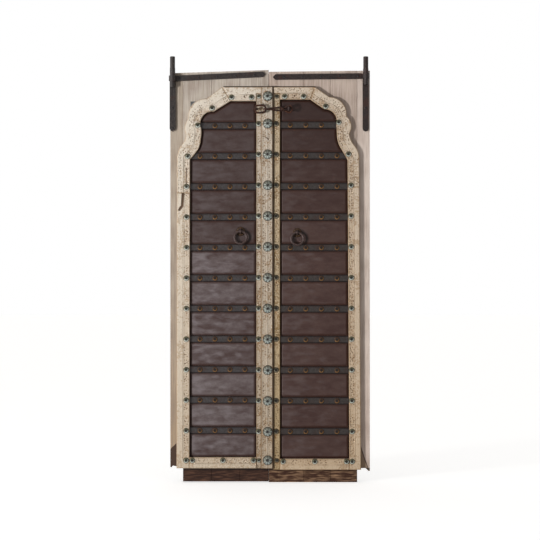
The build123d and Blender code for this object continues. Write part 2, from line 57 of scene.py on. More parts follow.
body_of = {name: body for body, names in bodies.items() for name in names}
slot_of = {part["node"]: part["material_slot"] for part in frame["record"]["subparts"]}
MM = 0.001
SIDES = ("left", "right")

# %% [markdown]
# Every shader and every geometry tree below is built node by node. One small function
# adds a node, sets its options and fills its inputs, each with a plain value or with a
# link from another node. A second one turns the hex colours of a paint chart, which are
# in sRGB, to the linear numbers that a shader mixes correctly.

# %% One way to add a node, one way to read a colour
MATH = "ShaderNodeMath"
VECTOR_MATH = "ShaderNodeVectorMath"
RANGE = "ShaderNodeMapRange"
NOISE = "ShaderNodeTexNoise"
SPLIT_XYZ = "ShaderNodeSeparateXYZ"
JOIN_XYZ = "ShaderNodeCombineXYZ"
SURFACE = "ShaderNodeBsdfPrincipled"
BUMP = "ShaderNodeBump"
OUTPUT = "ShaderNodeOutputMaterial"
STORE = "GeometryNodeStoreNamedAttribute"
SMOOTH = {"interpolation_type": "SMOOTHSTEP"}


def add(tree, kind, inputs=(), **options):
    """Adds a node; an input is a value, a socket, or a node whose first output is meant."""
    made = tree.nodes.new(kind)
    for option, value in options.items():
        setattr(made, option, value)
    for key, value in inputs.items() if isinstance(inputs, dict) else enumerate(inputs):
        source = value.outputs[0] if isinstance(value, bpy.types.Node) else value
        if isinstance(source, bpy.types.NodeSocket):
            tree.links.new(source, made.inputs[key])
        else:
            made.inputs[key].default_value = source
    return made


def linear(hex_code):
    """The linear RGBA of an sRGB hex colour."""
    channels = [int(hex_code[i : i + 2], 16) / 255 for i in (1, 3, 5)]
    return [c / 12.92 if c < 0.04045 else ((c + 0.055) / 1.055) ** 2.4 for c in channels] + [1.0]


print("limewash cream is", [round(c, 3) for c in linear("#d5c9b9")])

# %% [markdown]
# Weathered things are painted in coats: a base, then each kind of wear or dirt over it,
# where some value says so. That value is a height, a distance from an edge or a noise.
# So every material reads such values off its piece first. Each noise is as large as the
# real pattern, given in millimetres along x, y and z, and then paint() lays the coats.

# %% Start a material, read its piece and lay coats of colour
def start_material(name):
    """An empty material and its tree."""
    material = bpy.data.materials.new(name)
    material.use_nodes = True
    material.node_tree.nodes.clear()
    return material, material.node_tree


def read_piece(tree, patterns, stored=(), lying=False):
    """The place on the piece, a noise for each (x, y, z size, detail), and stored values."""
    place = add(tree, "ShaderNodeTexCoord").outputs["Object"]
    x, y, z = add(tree, SPLIT_XYZ, (place,)).outputs
    read = {"x": x, "y": y, "z": z}
    grown = add(tree, JOIN_XYZ, (z, y, x)) if lying else place
    for label, (*sizes, detail) in patterns.items():
        scale = tuple(1 / (size * MM) for size in sizes)
        spread = add(tree, "ShaderNodeMapping", {"Vector": grown, "Scale": scale})
        pattern = {"Vector": spread, "Scale": 1.0, "Detail": detail}
        read[label] = add(tree, NOISE, pattern).outputs[0]
    for label in stored:
        read[label] = add(tree, "ShaderNodeAttribute", attribute_name=label).outputs["Fac"]
    return read


def paint(tree, base, *coats):
    """A base under coats of (value, where a coat starts, where it is full, share, colour)."""
    under = linear(base)
    for value, start, full, share, colour in coats:
        spread = {"Value": value, "From Min": start, "From Max": full, "To Max": share}
        over = linear(colour) if isinstance(colour, str) else colour
        mixed = {0: add(tree, RANGE, spread), 6: under, 7: over}
        under = add(tree, "ShaderNodeMix", mixed, data_type="RGBA").outputs[2]
    return under


print("paints ready")

# %% [markdown]
# ## Weathered boards
# The leaves are boards of an open-pored hardwood under a thin old whitewash. Sun and
# rain have worn the wash into long vertical streaks, so the grain shows grey-brown
# through it. A noise that is squeezed across the grain and stretched along it makes
# such streaks; its scales come from real widths, about 3 mm for a streak and 150 mm
# for a worn patch. Below the rail the boards never had a wash and are dark and greasy,
# with a near-black painted shadow just under the rail. Along the top of the border the
# boards get a dark line of painted shadow, where the border would cast one. The hanging
# planks have split at the foot: a split is a slanting line, and one side of it has a
# colour of its own. The battens lie across, so their grain does too.

# %% Board material: whitewashed hardwood, worn along the grain
BARE_BELOW = 68.0 * MM
BORDER_SHADOW_LINE = max(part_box(f"{side}_head_trim")[1].z for side in SIDES) + 2.0 * MM
HEAD_REACH = 226.0 * MM  # the painted shadow line ends this far from the middle, where the arch turns down
SPLIT_WANDER = 8.0 * MM  # a noise from 0 to 1 bends the split by this, half to each side


def board_material(name, wash, worn, tan, bare, streak, split=None, dirt_and_shadow=False, lying=False):
    """Whitewash over worn wood, bare dark wood at the foot with a painted shadow under the rail, a
    split, and a painted shadow line along the top of the border.
    """
    material, tree = start_material(name)
    patterns = {
        "grain": (3.0, 3.0, 110.0, 5.0),
        "wide": (11.0, 11.0, 400.0, 3.0),
        "patch": (150.0, 150.0, 150.0, 6.0),
        "streaks": (60.0, 60.0, 6.0, 5.0),
    }
    read = read_piece(tree, patterns, lying=lying)
    x, y, z = read["x"], read["y"], read["z"]
    wear = add(tree, MATH, (read["grain"], read["patch"]), operation="ADD")
    coats = [
        (z, 1.0, 0.25, 0.55, tan),
        (wear, 0.86, 1.28, 0.9, worn),
        (read["wide"], 0.52, 0.75, 0.45, worn),
    ]
    if split:
        split_x, split_z, lean, stained_side, side_colour = split
        rise = add(tree, MATH, (z, split_z), operation="SUBTRACT")
        leant = add(tree, MATH, (rise, -lean, x), operation="MULTIPLY_ADD")
        offset = add(tree, MATH, (leant, split_x + SPLIT_WANDER / 2), operation="SUBTRACT")
        wavy = add(tree, MATH, (read["wide"], SPLIT_WANDER, offset), operation="MULTIPLY_ADD")
        sided = add(tree, MATH, (wavy, stained_side), operation="MULTIPLY")
        gap = add(tree, MATH, (wavy,), operation="ABSOLUTE")
        coats.append((sided, -1.0 * MM, 2.0 * MM, 0.9, side_colour))
        coats.append((gap, 3.2 * MM, 1.2 * MM, 0.9, "#2a1a12"))
    if dirt_and_shadow:
        # a dark line of painted shadow along the top of the border, which the border casts on the
        # boards
        above = add(tree, MATH, (z, BORDER_SHADOW_LINE), operation="SUBTRACT")
        off_line = add(tree, MATH, (above,), operation="ABSOLUTE")
        off_centre = add(tree, MATH, (x,), operation="ABSOLUTE")
        past_end = add(tree, MATH, (off_centre, HEAD_REACH), operation="SUBTRACT")
        past_line = add(tree, MATH, (off_line, past_end), operation="MAXIMUM")
        behind = add(tree, MATH, (past_line, y), operation="MAXIMUM")
        coats.append((behind, 5.5 * MM, 3.5 * MM, 0.95, "#1d120d"))
    greasy_and_shaded = (
        (read["streaks"], 0.46, 0.68, 0.85, streak),
        # a near-black painted shadow line just under the rail
        (z, 54.0 * MM, 66.0 * MM, 0.9, "#140c09"),
    )
    coats.append((z, BARE_BELOW + 6.0 * MM, BARE_BELOW, 1.0, paint(tree, bare, *greasy_and_shaded)))
    relief = {"Strength": 0.7, "Distance": 1.0 * MM, "Height": read["grain"]}
    look = {
        "Base Color": paint(tree, wash, *coats),
        "Roughness": 0.85,
        "Specular IOR Level": 0.25,
        "Normal": add(tree, BUMP, relief),
    }
    add(tree, OUTPUT, {"Surface": add(tree, SURFACE, look)})
    return material


print("painted shadow line at", round(BORDER_SHADOW_LINE, 4), "m")

# %% [markdown]
# The boards and battens already have their exact form from the CAD model, so they only
# get a finish. The two leaves have weathered differently, so each has its own colours.

# %% Give the boards their finish
board_colours = {
    "left": ("", "#b9afa3", "#8d7e73", "#a88f78", "#2e1c15", "#5f4233"),
    "right": (", pinker", "#bcab9f", "#8f7c70", "#b39c8c", "#3a2318", "#9a7a5e"),
}
board_finish = {
    side: board_material(f"whitewashed hardwood boards{kind}", *colours, dirt_and_shadow=True)
    for side, (kind, *colours) in board_colours.items()
}
ledge_colours = ("#a39a8f", "#7f736a", "#9a8470", "#2e1c15", "#5f4233")
ledge_finish = board_material("hardwood battens, unwashed", *ledge_colours, lying=True)
board_nodes = [name for name, slot in slot_of.items() if slot == "board_wood"]
upright_boards = [name for name in board_nodes if not name.endswith("ledges")]
for name in board_nodes:
    finish = board_finish[name.split("_")[0]] if name in upright_boards else ledge_finish
    nodes[name].data.materials.clear()
    nodes[name].data.materials.append(finish)
print("boards:", len(upright_boards), "and sets of battens:", len(board_nodes) - len(upright_boards))

# %% [markdown]
# ## From an outline to a fine mesh
# A carver starts from a sawn blank and cuts down from its face. We do the same: read
# the outline of a flat piece from its CAD mesh, cover its front with a fine grid, and
# pull the grid's rim onto the outline. Each point then stores how far it is from the
# outline, from the field side and from the nearest nail, and the carving reads those
# distances. A grid keeps the count of faces under control, where a remesh of the whole
# block would spend half of them on the hidden back.

# %% Read outlines from the CAD meshes
JOINED = 0.001 * MM
ON_PLANE = 0.01 * MM


def merged_copy(name):
    """A bmesh copy of a node with its loose triangles joined."""
    copy = bmesh.new()
    copy.from_mesh(nodes[name].data)
    bmesh.ops.remove_doubles(copy, verts=copy.verts, dist=JOINED)
    return copy


def outlines(name):
    """The closed outlines of a node's back faces from the top down, each an array of (x, z)."""
    copy = merged_copy(name)
    back = max(vert.co.y for vert in copy.verts)
    flat = {f for f in copy.faces if all(abs(v.co.y - back) < ON_PLANE for v in f.verts)}
    follow = {}
    for face in flat:
        for loop in face.loops:
            if not any(other in flat for other in loop.edge.link_faces if other is not face):
                follow[loop.vert] = loop.link_loop_next.vert
    found = []
    while follow:
        vert = next(iter(follow))
        chain = []
        while vert in follow:
            chain.append((vert.co.x, vert.co.z))
            vert = follow.pop(vert)
        found.append(np.array(chain))
    copy.free()
    return sorted(found, key=lambda outline: -outline[:, 1].max())


sheet_outlines = {side: outlines(f"{side}_panels") for side in SIDES}
print("sheets:", [len(sheet_outlines[side]) for side in SIDES])

# %% [markdown]
# Nails, studs and straps come as nodes of many separate solids. To learn where each one
# sits, we walk from point to point along the edges. What can be reached is one solid,
# and its box gives its middle and its width.

# %% Find the separate solids of a node
def islands(name):
    """For each separate solid of a node: its middle on its back plane, and its half width."""
    copy = merged_copy(name)
    waiting = set(copy.verts)
    found = []
    while waiting:
        island = [waiting.pop()]
        for vert in island:
            for edge in vert.link_edges:
                other = edge.other_vert(vert)
                if other in waiting:
                    waiting.remove(other)
                    island.append(other)
        corners = np.array([vert.co for vert in island])
        low, high = corners.min(0), corners.max(0)
        middle = (low + high) / 2
        found.append((middle[0], high[1], middle[2], (high[0] - low[0]) / 2))
    copy.free()
    return np.array(sorted(found, key=lambda spot: (-round(spot[2], 3), spot[0])))


strap_rows = {side: islands(f"{side}_straps")[:, 2] for side in SIDES}
nail_spots = {
    side: np.vstack([islands(f"{side}_{kind}_nails") for kind in ("trim", "strip")])
    for side in SIDES
}
print("border nails:", [len(nail_spots[side]) for side in SIDES])

# %% [markdown]
# The carving asks one thing again and again: how far is this point from that edge? A
# few lines of plain geometry answer it for all points of a grid at once.

# %% Distances from points to an outline
def edges_of(outline):
    """The starts and the ends of a closed outline's edges."""
    return outline, np.roll(outline, -1, axis=0)


def segment_distance(points, starts, ends):
    """For each point, the distance to the nearest of some segments, and its number."""
    best = np.full(len(points), np.inf)
    nearest = np.zeros(len(points), int)
    for number, (start, end) in enumerate(zip(starts, ends)):
        run = end - start
        share = np.clip(((points - start) @ run) / max(run @ run, 1e-12), 0, 1)
        gap = np.linalg.norm(points - (start + share[:, None] * run), axis=1)
        closer = gap < best
        best[closer] = gap[closer]
        nearest[closer] = number
    return best, nearest


def nearest_on(points, starts, ends):
    """The nearest place on some segments for each point."""
    _, number = segment_distance(points, starts, ends)
    start, run = starts[number], ends[number] - starts[number]
    share = np.einsum("ij,ij->i", points - start, run) / np.einsum("ij,ij->i", run, run)
    return start + np.clip(share, 0, 1)[:, None] * run


def inside(points, starts, ends):
    """Which points lie inside the closed outline, by counting crossings."""
    odd = np.zeros(len(points), bool)
    for start, end in zip(starts, ends):
        spans = (start[1] > points[:, 1]) != (end[1] > points[:, 1])
        rise = end[1] - start[1] if end[1] != start[1] else 1e-12
        cross = start[0] + (points[:, 1] - start[1]) / rise * (end[0] - start[0])
        odd ^= spans & (points[:, 0] < cross)
    return odd


print("distances ready")

# %% [markdown]
# The plate itself is a shell: the grid in front, walls round its rim, and one flat face
# behind. Only the front needs many points, because only the front is carved.

# %% Cover an outline with a grid
def new_object(name, mesh):
    """An object for a mesh, in the scene."""
    made = bpy.data.objects.new(name, mesh)
    bpy.context.scene.collection.objects.link(made)
    return made


def object_from(shape, name):
    """An object from a finished bmesh."""
    mesh = bpy.data.meshes.new(name)
    shape.to_mesh(mesh)
    shape.free()
    return new_object(name, mesh)


def grid_in(outline, pitch):
    """The points of a grid over an outline, and its cells whose middles lie inside."""
    low, high = outline.min(0), outline.max(0)
    counts = np.maximum(np.ceil((high - low) / pitch).astype(int), 1)
    axes = [np.linspace(low[i], high[i], counts[i] + 1) for i in (0, 1)]
    across, up = np.meshgrid(*axes, indexing="ij")
    points = np.stack([across.ravel(), up.ravel()], axis=1)
    rows = counts[1] + 1
    corner = (np.arange(counts[0])[:, None] * rows + np.arange(counts[1])).ravel()
    cells = np.stack([corner, corner + rows, corner + rows + 1, corner + 1], axis=1)
    cells = cells[inside(points[cells].mean(1), *edges_of(outline))]
    used, cells = np.unique(cells, return_inverse=True)
    return points[used], cells.reshape(-1, 4)


print("grids ready")

# %% Close the grid into a shell
def relief_object(name, outline, front_y, back_y, pitch):
    """A closed plate with a fine front, and the (x, z) of its front points."""
    points, cells = grid_in(outline, pitch)
    shell = bmesh.new()
    verts = [shell.verts.new((x, front_y, z)) for x, z in points]
    for cell in cells:
        shell.faces.new([verts[i] for i in cell])
    shell.verts.index_update()
    rim = [edge for edge in shell.edges if len(edge.link_faces) == 1]
    rim_numbers = sorted({vert.index for edge in rim for vert in edge.verts})
    points[rim_numbers] = nearest_on(points[rim_numbers], *edges_of(outline))
    for number in rim_numbers:
        verts[number].co.x, verts[number].co.z = points[number]
    walls = bmesh.ops.extrude_edge_only(shell, edges=rim)["geom"]
    for vert in walls:
        if isinstance(vert, bmesh.types.BMVert):
            vert.co.y = back_y
    back = [edge for edge in shell.edges if len(edge.link_faces) == 1]
    bmesh.ops.holes_fill(shell, edges=back, sides=0)
    bmesh.ops.recalc_face_normals(shell, faces=shell.faces)
    return object_from(shell, name), points


def store(piece, name, values):
    """Keeps a number for each point; points behind the front get 0."""
    full = np.zeros(len(piece.data.vertices), np.float32)
    full[: len(values)] = values
    attribute = piece.data.attributes.new(name, "FLOAT", "POINT")
    attribute.data.foreach_set("value", full)


print("shells ready")

# %% [markdown]
# Geometry Nodes do the cutting. A tree takes the grid with its stored distances and
# moves its front points, and the settings that a carver would choose are inputs of
# the tree. A helper runs a tree once and keeps the result as a plain mesh without the
# modifier. The finished piece then rides the body of the CAD node that it stands for.

# %% Run a geometry tree and keep its result
def new_tree(name, sizes, *labels):
    """A geometry tree with named sizes and a finish, and the values stored under labels."""
    tree = bpy.data.node_groups.new(name, "GeometryNodeTree")
    tree.is_modifier = True
    tree.interface.new_socket("Geometry", in_out="INPUT", socket_type="NodeSocketGeometry")
    for label, value in sizes.items():
        kind = "NodeSocketInt" if isinstance(value, int) else "NodeSocketFloat"
        socket = tree.interface.new_socket(label, in_out="INPUT", socket_type=kind)
        socket.default_value = value
    tree.interface.new_socket("Finish", in_out="INPUT", socket_type="NodeSocketMaterial")
    tree.interface.new_socket("Geometry", in_out="OUTPUT", socket_type="NodeSocketGeometry")
    stored = {}
    for label in labels:
        kind = "GeometryNodeInputNamedAttribute"
        stored[label] = add(tree, kind, {"Name": label}, data_type="FLOAT").outputs[0]
    return tree, add(tree, "NodeGroupInput").outputs, stored


def close_tree(tree, given, shape):
    """Ends a tree: real geometry, one finish, and the way out."""
    real = add(tree, "GeometryNodeRealizeInstances", (shape,))
    finish = {"Geometry": real, "Material": given["Finish"]}
    add(tree, "NodeGroupOutput", (add(tree, "GeometryNodeSetMaterial", finish),))
    print(tree.name, "tree:", len(tree.nodes), "nodes")


def settle(piece, modifier):
    """Makes the result of a modifier the piece's own plain mesh."""
    now = piece.evaluated_get(bpy.context.evaluated_depsgraph_get())
    mesh = bpy.data.meshes.new_from_object(now)
    piece.modifiers.remove(modifier)
    piece.data = mesh


def run_tree(piece, tree, finish, **sizes):
    """Runs a tree on a piece with these sizes."""
    modifier = piece.modifiers.new(tree.name, "NODES")
    modifier.node_group = tree
    wanted = {label.replace("_", " "): value for label, value in sizes.items()}
    wanted["Finish"] = finish
    for socket in tree.interface.items_tree:
        if socket.in_out == "INPUT" and socket.name in wanted:
            modifier[socket.identifier] = wanted[socket.name]
    settle(piece, modifier)


def finish_piece(piece, name, smooth=False):
    """Puts a finished piece on the body of the node that it stands for."""
    faces = piece.data.polygons
    faces.foreach_set("use_smooth", [smooth] * len(faces))
    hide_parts(name)
    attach(piece, body_of[name])
    print(piece.name, len(faces), "faces")


print("trees ready")

# %% [markdown]
# ## Hanging planks with a broken foot
# The two hanging planks have lost wood at the foot, so each gets an outline of its own:
# the sloping top from its CAD piece, and the broken foot from a few given points, in
# millimetres. The split that runs up from it is painted by the material. It is given
# by one place on it, x and z, its lean, and the side that has another colour: 1 is the
# right side of the split and -1 the left.

# %% Make the hanging planks
PLANK_PITCH = 8.0 * MM
TOP_SLOPE = 20.0 * MM
broken_feet = {
    "left": [(-496.6, 76.0), (-491.0, 74.0), (-487.0, 81.0), (-480.0, 84.0), (-473.0, 80.0)],
    "right": [(458.0, 70.0), (478.0, 71.0), (487.0, 66.0), (494.0, 57.0), (502.6, 56.0)],
}
splits = {
    "left": (-466.0 * MM, 194.0 * MM, 1.0, 1.0, "#33201a"),
    "right": (458.0 * MM, 175.0 * MM, -0.339, -1.0, "#8a7460"),
}
# The right plank's wash is painted paler than the left's: painted light that makes up for the shadow
# the border casts on it.
plank_colours = {
    "left": ("#aa9d8e", "#86776a", "#9a7d5a", "#33201a", "#4a2f22"),
    "right": ("#d2c3b8", "#a89589", "#c6b4a8", "#8a7460", "#6b5546"),
}
for side in SIDES:
    name = f"{side}_outer_plank"
    low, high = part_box(name)
    corners = outlines(name)[0]
    top = corners[corners[:, 1] > high.z - TOP_SLOPE]
    foot = np.array(broken_feet[side]) * MM
    foot = foot[(foot[:, 0] > low.x) & (foot[:, 0] < high.x)]
    ends = [(low.x, foot[0][1]), *map(tuple, foot), (high.x, foot[-1][1])]
    left_top, right_top = top[top[:, 0].argmin()], top[top[:, 0].argmax()]
    outline = np.array(ends + [(high.x, right_top[1]), (low.x, left_top[1])])
    piece, _ = relief_object(f"broken_{name}", outline, low.y, high.y, PLANK_PITCH)
    finish = board_material(f"split hardwood plank, {side}", *plank_colours[side], splits[side])
    piece.data.materials.append(finish)
    finish_piece(piece, name)

# %% [markdown]
# Each seam between the boards gets a thin dark filler between its two boards, so no
# daylight shows through it, only a dull dark line: the filler stands in as painted
# shade for the gap. The seam between the leaves gets one on the right leaf, at the
# back, where it moves away first when that leaf opens.

# %% Pack the seams
WIDEST_SEAM = 2.0 * MM
JOINT_REACH = 6.0 * MM  # the joint of the leaves lies this near the middle, or nearer
JOINT_SLACK = 0.1 * MM
JOINT_FILLER_DEPTH = 4.0 * MM
FILLER_FRONT = 3.0 * MM
FILLER_BACK = 1.0 * MM
FILLER_TOP = 6.0 * MM
# the fillers are dark: painted shade for the gaps between the boards
dark_seam_finish, tree = start_material("painted seam shade")
dark_seam_look = {"Base Color": linear("#1f1612"), "Roughness": 0.95}
add(tree, OUTPUT, {"Surface": add(tree, SURFACE, dark_seam_look)})
board_boxes = sorted((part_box(name) for name in upright_boards), key=lambda box: box[0].x)
for number, (board, next_board) in enumerate(zip(board_boxes, board_boxes[1:])):
    (low, high), (next_low, next_high) = board, next_board
    seam = next_low.x - high.x
    if not 0 < seam < WIDEST_SEAM:
        continue
    in_joint = abs(high.x) < JOINT_REACH
    side = "right" if next_low.x > -JOINT_REACH else "left"
    start_x = high.x + JOINT_SLACK if in_joint else high.x
    front = high.y - JOINT_FILLER_DEPTH if in_joint else low.y + FILLER_FRONT
    bottom, top = max(low.z, next_low.z), min(high.z, next_high.z) - FILLER_TOP
    spans = [(start_x, next_low.x), (front, high.y - FILLER_BACK), (bottom, top)]
    filler = bmesh.new()
    bmesh.ops.create_cube(filler, size=1.0)
    for vert in filler.verts:
        for axis, (start, end) in enumerate(spans):
            vert.co[axis] = end if vert.co[axis] > 0 else start
    piece = object_from(filler, f"seam_shade_filler_{number}")
    piece.data.materials.append(dark_seam_finish)
    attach(piece, body_of[f"{side}_board_1"])
    print("seam at", round(high.x / MM, 1), "mm,", round(seam / MM, 2), "mm wide, on the", side, "leaf")

# %% [markdown]
# ## Iron sheets
# Between the straps lie thin sheets of rolled iron, dished by hand so that they stand
# proud in the middle. The dish rises fast at the straps and at the border and is nearly
# flat inside, and the hammer left shallow dents. The tree lifts the grid by a smooth
# step of the distance to the open edge and adds a low noise for the dents.

# %% A tree that dishes a sheet
EDGE_FLAT = 1.0 * MM
DENT_FADE = 20.0 * MM
DENT_SIZE = 62.5 * MM
sheet_sizes = {"Dish": 5.0 * MM, "Slope": 14.0 * MM, "Dent": 1.2 * MM, "Seed": 3}
sheet_tree, given, stored = new_tree("dished sheet", sheet_sizes, "edge")
rise = {
    "Value": stored["edge"],
    "From Min": EDGE_FLAT,
    "From Max": given["Slope"],
    "To Max": given["Dish"],
}
pillow = add(sheet_tree, RANGE, rise, **SMOOTH)
where = add(sheet_tree, "GeometryNodeInputPosition")
hammered = {"Vector": where, "W": given["Seed"], "Scale": 1 / DENT_SIZE, "Detail": 1.0}
dents = add(sheet_tree, NOISE, hammered, noise_dimensions="4D")
edge_fade = {"Value": stored["edge"], "From Max": DENT_FADE, "To Max": given["Dent"]}
dented = add(sheet_tree, MATH, (dents, add(sheet_tree, RANGE, edge_fade)), operation="MULTIPLY")
lifted = add(sheet_tree, MATH, (dented, pillow), operation="SUBTRACT")
moved = {"Geometry": given["Geometry"], "Offset": add(sheet_tree, JOIN_XYZ, {"Y": lifted})}
close_tree(sheet_tree, given, add(sheet_tree, "GeometryNodeSetPosition", moved))

# %% [markdown]
# Rolled iron that has been oiled and left for decades has a dark brown skin, with
# red-black rust where damp sits at the straps and the border, and right at them a
# near-black painted shade, with some dirt, in the gap. The skin is not bare metal, so
# it is shaded as a dark satin coat with a low metallic share. Its sheen is painted:
# smudges about 30 mm tall lie across the sheet in a paler, greyer colour, where the
# sheet is also less rough, and a 9 mm mottle breaks them. The left end of most sheets
# gets a pale painted glow. The sheets are darker towards the arch. Each ring casts a
# painted shadow on the sheet, a dark circle shifted to its right.

# %% Sheet material: rolled iron with an oiled brown skin
SHEEN_FROM, SHEEN_TO = 0.3, 0.72
GLOW_LEFT = 0.28
OFF_SHEEN_ROUGHER = 0.14


def iron_skin(name, skin, rubbed, left_glow_colour, shade, high_range, left_glow_share, gloss):
    """Dark oiled iron: a painted sheen and a painted glow over the skin, a painted ring shadow, and
    rust and painted gap shade at the stored edge.
    """
    material, tree = start_material(name)
    patterns = {
        "smudge": (70.0, 40.0, 28.0, 5.0),
        "mottle": (9.0, 9.0, 9.0, 5.0),
        "glow_patch": (60.0, 60.0, 24.0, 3.0),
    }
    read = read_piece(tree, patterns, ("edge", "tone", "along", "painted_ring_shadow"))
    wavy = add(tree, MATH, (read["mottle"], 7.0 * MM, read["edge"]), operation="MULTIPLY_ADD")
    left_glow = add(tree, MATH, (read["along"], -GLOW_LEFT, read["glow_patch"]), operation="MULTIPLY_ADD")
    sheen_smudges = add(tree, MATH, (read["smudge"], read["tone"]), operation="ADD")
    coats = (
        # painted sheen: a paler, greyer colour where the smudges run high; the roughness drops there
        # too
        (sheen_smudges, SHEEN_FROM, SHEEN_TO, 1.0, rubbed),
        (read["mottle"], 0.45, 0.7, 0.3, skin),
        # a pale painted glow at the left end of each sheet
        (left_glow, 0.36, 0.62, left_glow_share, left_glow_colour),
        (read["z"], *high_range, 0.6, shade),
        (read["z"], 1.55, 1.9, 0.45, shade),
        # a near-black painted shadow of the ring, shifted to its right
        (read["painted_ring_shadow"], 6.0 * MM, 2.5 * MM, 0.85, "#150a08"),
        (wavy, 19.0 * MM, 10.0 * MM, 0.75, "#341a10"),
        # near-black painted shade, with some dirt, in the gap at the straps and the border
        (wavy, 8.5 * MM, 6.0 * MM, 0.95, "#180a08"),
    )
    shine = {
        "Value": sheen_smudges,
        "From Min": SHEEN_FROM,
        "From Max": SHEEN_TO,
        "To Min": gloss + OFF_SHEEN_ROUGHER,
        "To Max": gloss,
    }
    relief = {"Strength": 0.3, "Distance": 0.5 * MM, "Height": read["mottle"]}
    look = {
        "Base Color": paint(tree, skin, *coats),
        "Metallic": 0.1,
        "Roughness": add(tree, RANGE, shine),
        "Specular IOR Level": 0.3,
        "Normal": add(tree, BUMP, relief),
    }
    add(tree, OUTPUT, {"Surface": add(tree, SURFACE, look)})
    return material


# Each row: the end of the finish's name, the skin, the painted sheen colour, the painted glow colour at
# the left end, the colour towards the top, the heights where it comes in, the glow's share, and the
# roughness at the sheen.
sheet_colours = {
    "left": ("", "#40302e", "#665c5c", "#7f7779", "#2f1c17", (1.13, 1.23), 0.5, 0.42),
    "right": (", browner", "#38231f", "#4a3732", "#5d5150", "#25130f", (1.1, 1.9), 0.4, 0.44),
}
sheet_finish = {
    side: iron_skin(f"oiled iron sheet{kind}", *colours)
    for side, (kind, *colours) in sheet_colours.items()
}
print("sheet finishes:", [finish.name for finish in sheet_finish.values()])

# %% [markdown]
# Each sheet is a plate of its own, as on the door. It is open at the border and hidden
# under the straps, so the distance that shapes its dish runs from whichever is nearer.
# A number drawn for each sheet makes it a little paler or darker than its neighbours.
# The draws come from a fixed seed, and the sheets take them from the top down.

# %% Make the sheets
SHEET_PITCH = 3.5 * MM
SHEET_FLANGE = 3.0 * MM
HALF_STRAP = 15.5 * MM
LEVEL = 0.1 * MM
TONE_SPREAD = 0.06
FIRST_SHEET_SEED = 5
# the painted shadow of each ring is a circle shifted this far to the right of the ring
RING_SHADOW_SHIFT = 14.0 * MM
RING_SHADOW_INSET = 2.75 * MM  # the painted ring shadow lies this far inside the ring's outer edge


def strap_gap(heights, side):
    """How far some heights are from the nearest strap's middle line."""
    return np.min(np.abs(heights[:, None] - strap_rows[side]), axis=1)


def dish_sheet(name, side, outline, seed, tone, ring_shadow_circle):
    """One sheet: a grid that knows its edges, its tone and the ring's painted shadow, then dished."""
    back_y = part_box(f"{side}_panels")[1].y
    piece, points = relief_object(name, outline, back_y - SHEET_FLANGE, back_y, SHEET_PITCH)
    starts, ends = edges_of(outline)
    level = np.abs(starts[:, 1] - ends[:, 1]) < LEVEL
    opens = ~(level & (strap_gap(starts[:, 1], side) < HALF_STRAP))
    open_gap, _ = segment_distance(points, starts[opens], ends[opens])
    edge_gap = np.minimum(open_gap, strap_gap(points[:, 1], side) - HALF_STRAP)
    left_end, right_end = outline[:, 0].min(), outline[:, 0].max()
    ring_x, ring_z, ring_radius = ring_shadow_circle
    from_ring = np.hypot(points[:, 0] - ring_x, points[:, 1] - ring_z)
    store(piece, "edge", np.maximum(edge_gap, 0))
    store(piece, "tone", np.full(len(points), tone))
    store(piece, "along", (points[:, 0] - left_end) / (right_end - left_end))
    store(piece, "painted_ring_shadow", np.abs(from_ring - ring_radius))
    run_tree(piece, sheet_tree, sheet_finish[side], Seed=seed)
    return piece


for side in SIDES:
    low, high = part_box(f"{side}_pull_ring")
    ring_shadow_circle = (
        (low.x + high.x) / 2 + RING_SHADOW_SHIFT, (low.z + high.z) / 2, (high.x - low.x) / 2 - RING_SHADOW_INSET
    )
    draw = np.random.default_rng(SIDES.index(side) + FIRST_SHEET_SEED)
    made = []
    for number, outline in enumerate(sheet_outlines[side]):
        tone = draw.uniform(-TONE_SPREAD, TONE_SPREAD)
        name = f"{side}_sheet_{number}"
        made.append(dish_sheet(name, side, outline, number, tone, ring_shadow_circle))
    with bpy.context.temp_override(active_object=made[0], selected_editable_objects=made):
        bpy.ops.object.join()
    made[0].name = f"{side}_sheets"
    finish_piece(made[0], f"{side}_panels", smooth=True)

# %% [markdown]
# ## Carved border
# The pale border is carved hardwood: a band outside, a groove, and a band of sunk bays
# inside, which stop at a round pad under each nail. A punch and a small chisel filled
# both bands of the arch, and the inner band of the uprights, with rows of short dark
# cuts. All of it follows the cusps of the arch, so the tree cuts by distance from the
# field side instead of by x and z.

# %% A tree that carves a band: bays, pads and the outer band
band_sizes = {
    "Bay From": 4.0 * MM,
    "Bay To": 29.0 * MM,
    "Bay Depth": 1.6 * MM,
    "Pad Radius": 19.0 * MM,
    "Groove At": 32.0 * MM,
    "Groove Depth": 2.2 * MM,
    "Outer From": 35.5 * MM,
    "Outer To": 58.0 * MM,
    "Outer Share": 1.0,
    "Cut Pitch": 12.0 * MM,
    "Cut Radius": 0.32,
    "Fade Size": 60.0 * MM,
    "Cut Depth": 1.8 * MM,
    "Round": 1.8 * MM,
    "Wear": 1.2 * MM,
    "Seed": 1,
}
band, given, stored = new_tree("carved band", band_sizes, "rim", "field", "nail", "front", "split")
SOFT_CUT = 2.2 * MM
field = stored["field"]
past_pad = add(band, MATH, (stored["nail"], given["Pad Radius"]), operation="SUBTRACT")
areas = {}
for label in ("Bay", "Outer"):
    after = add(band, MATH, (field, given[f"{label} From"]), operation="SUBTRACT")
    before = add(band, MATH, (given[f"{label} To"], field), operation="SUBTRACT")
    between = add(band, MATH, (after, before), operation="MINIMUM")
    areas[label] = add(band, MATH, (between, past_pad), operation="MINIMUM")
bay = add(band, RANGE, {"Value": areas["Bay"], "From Max": SOFT_CUT}, **SMOOTH)
outer = add(band, RANGE, {"Value": areas["Outer"], "From Max": SOFT_CUT}, **SMOOTH)
kept_outer = add(band, MATH, (outer, given["Outer Share"]), operation="MULTIPLY")
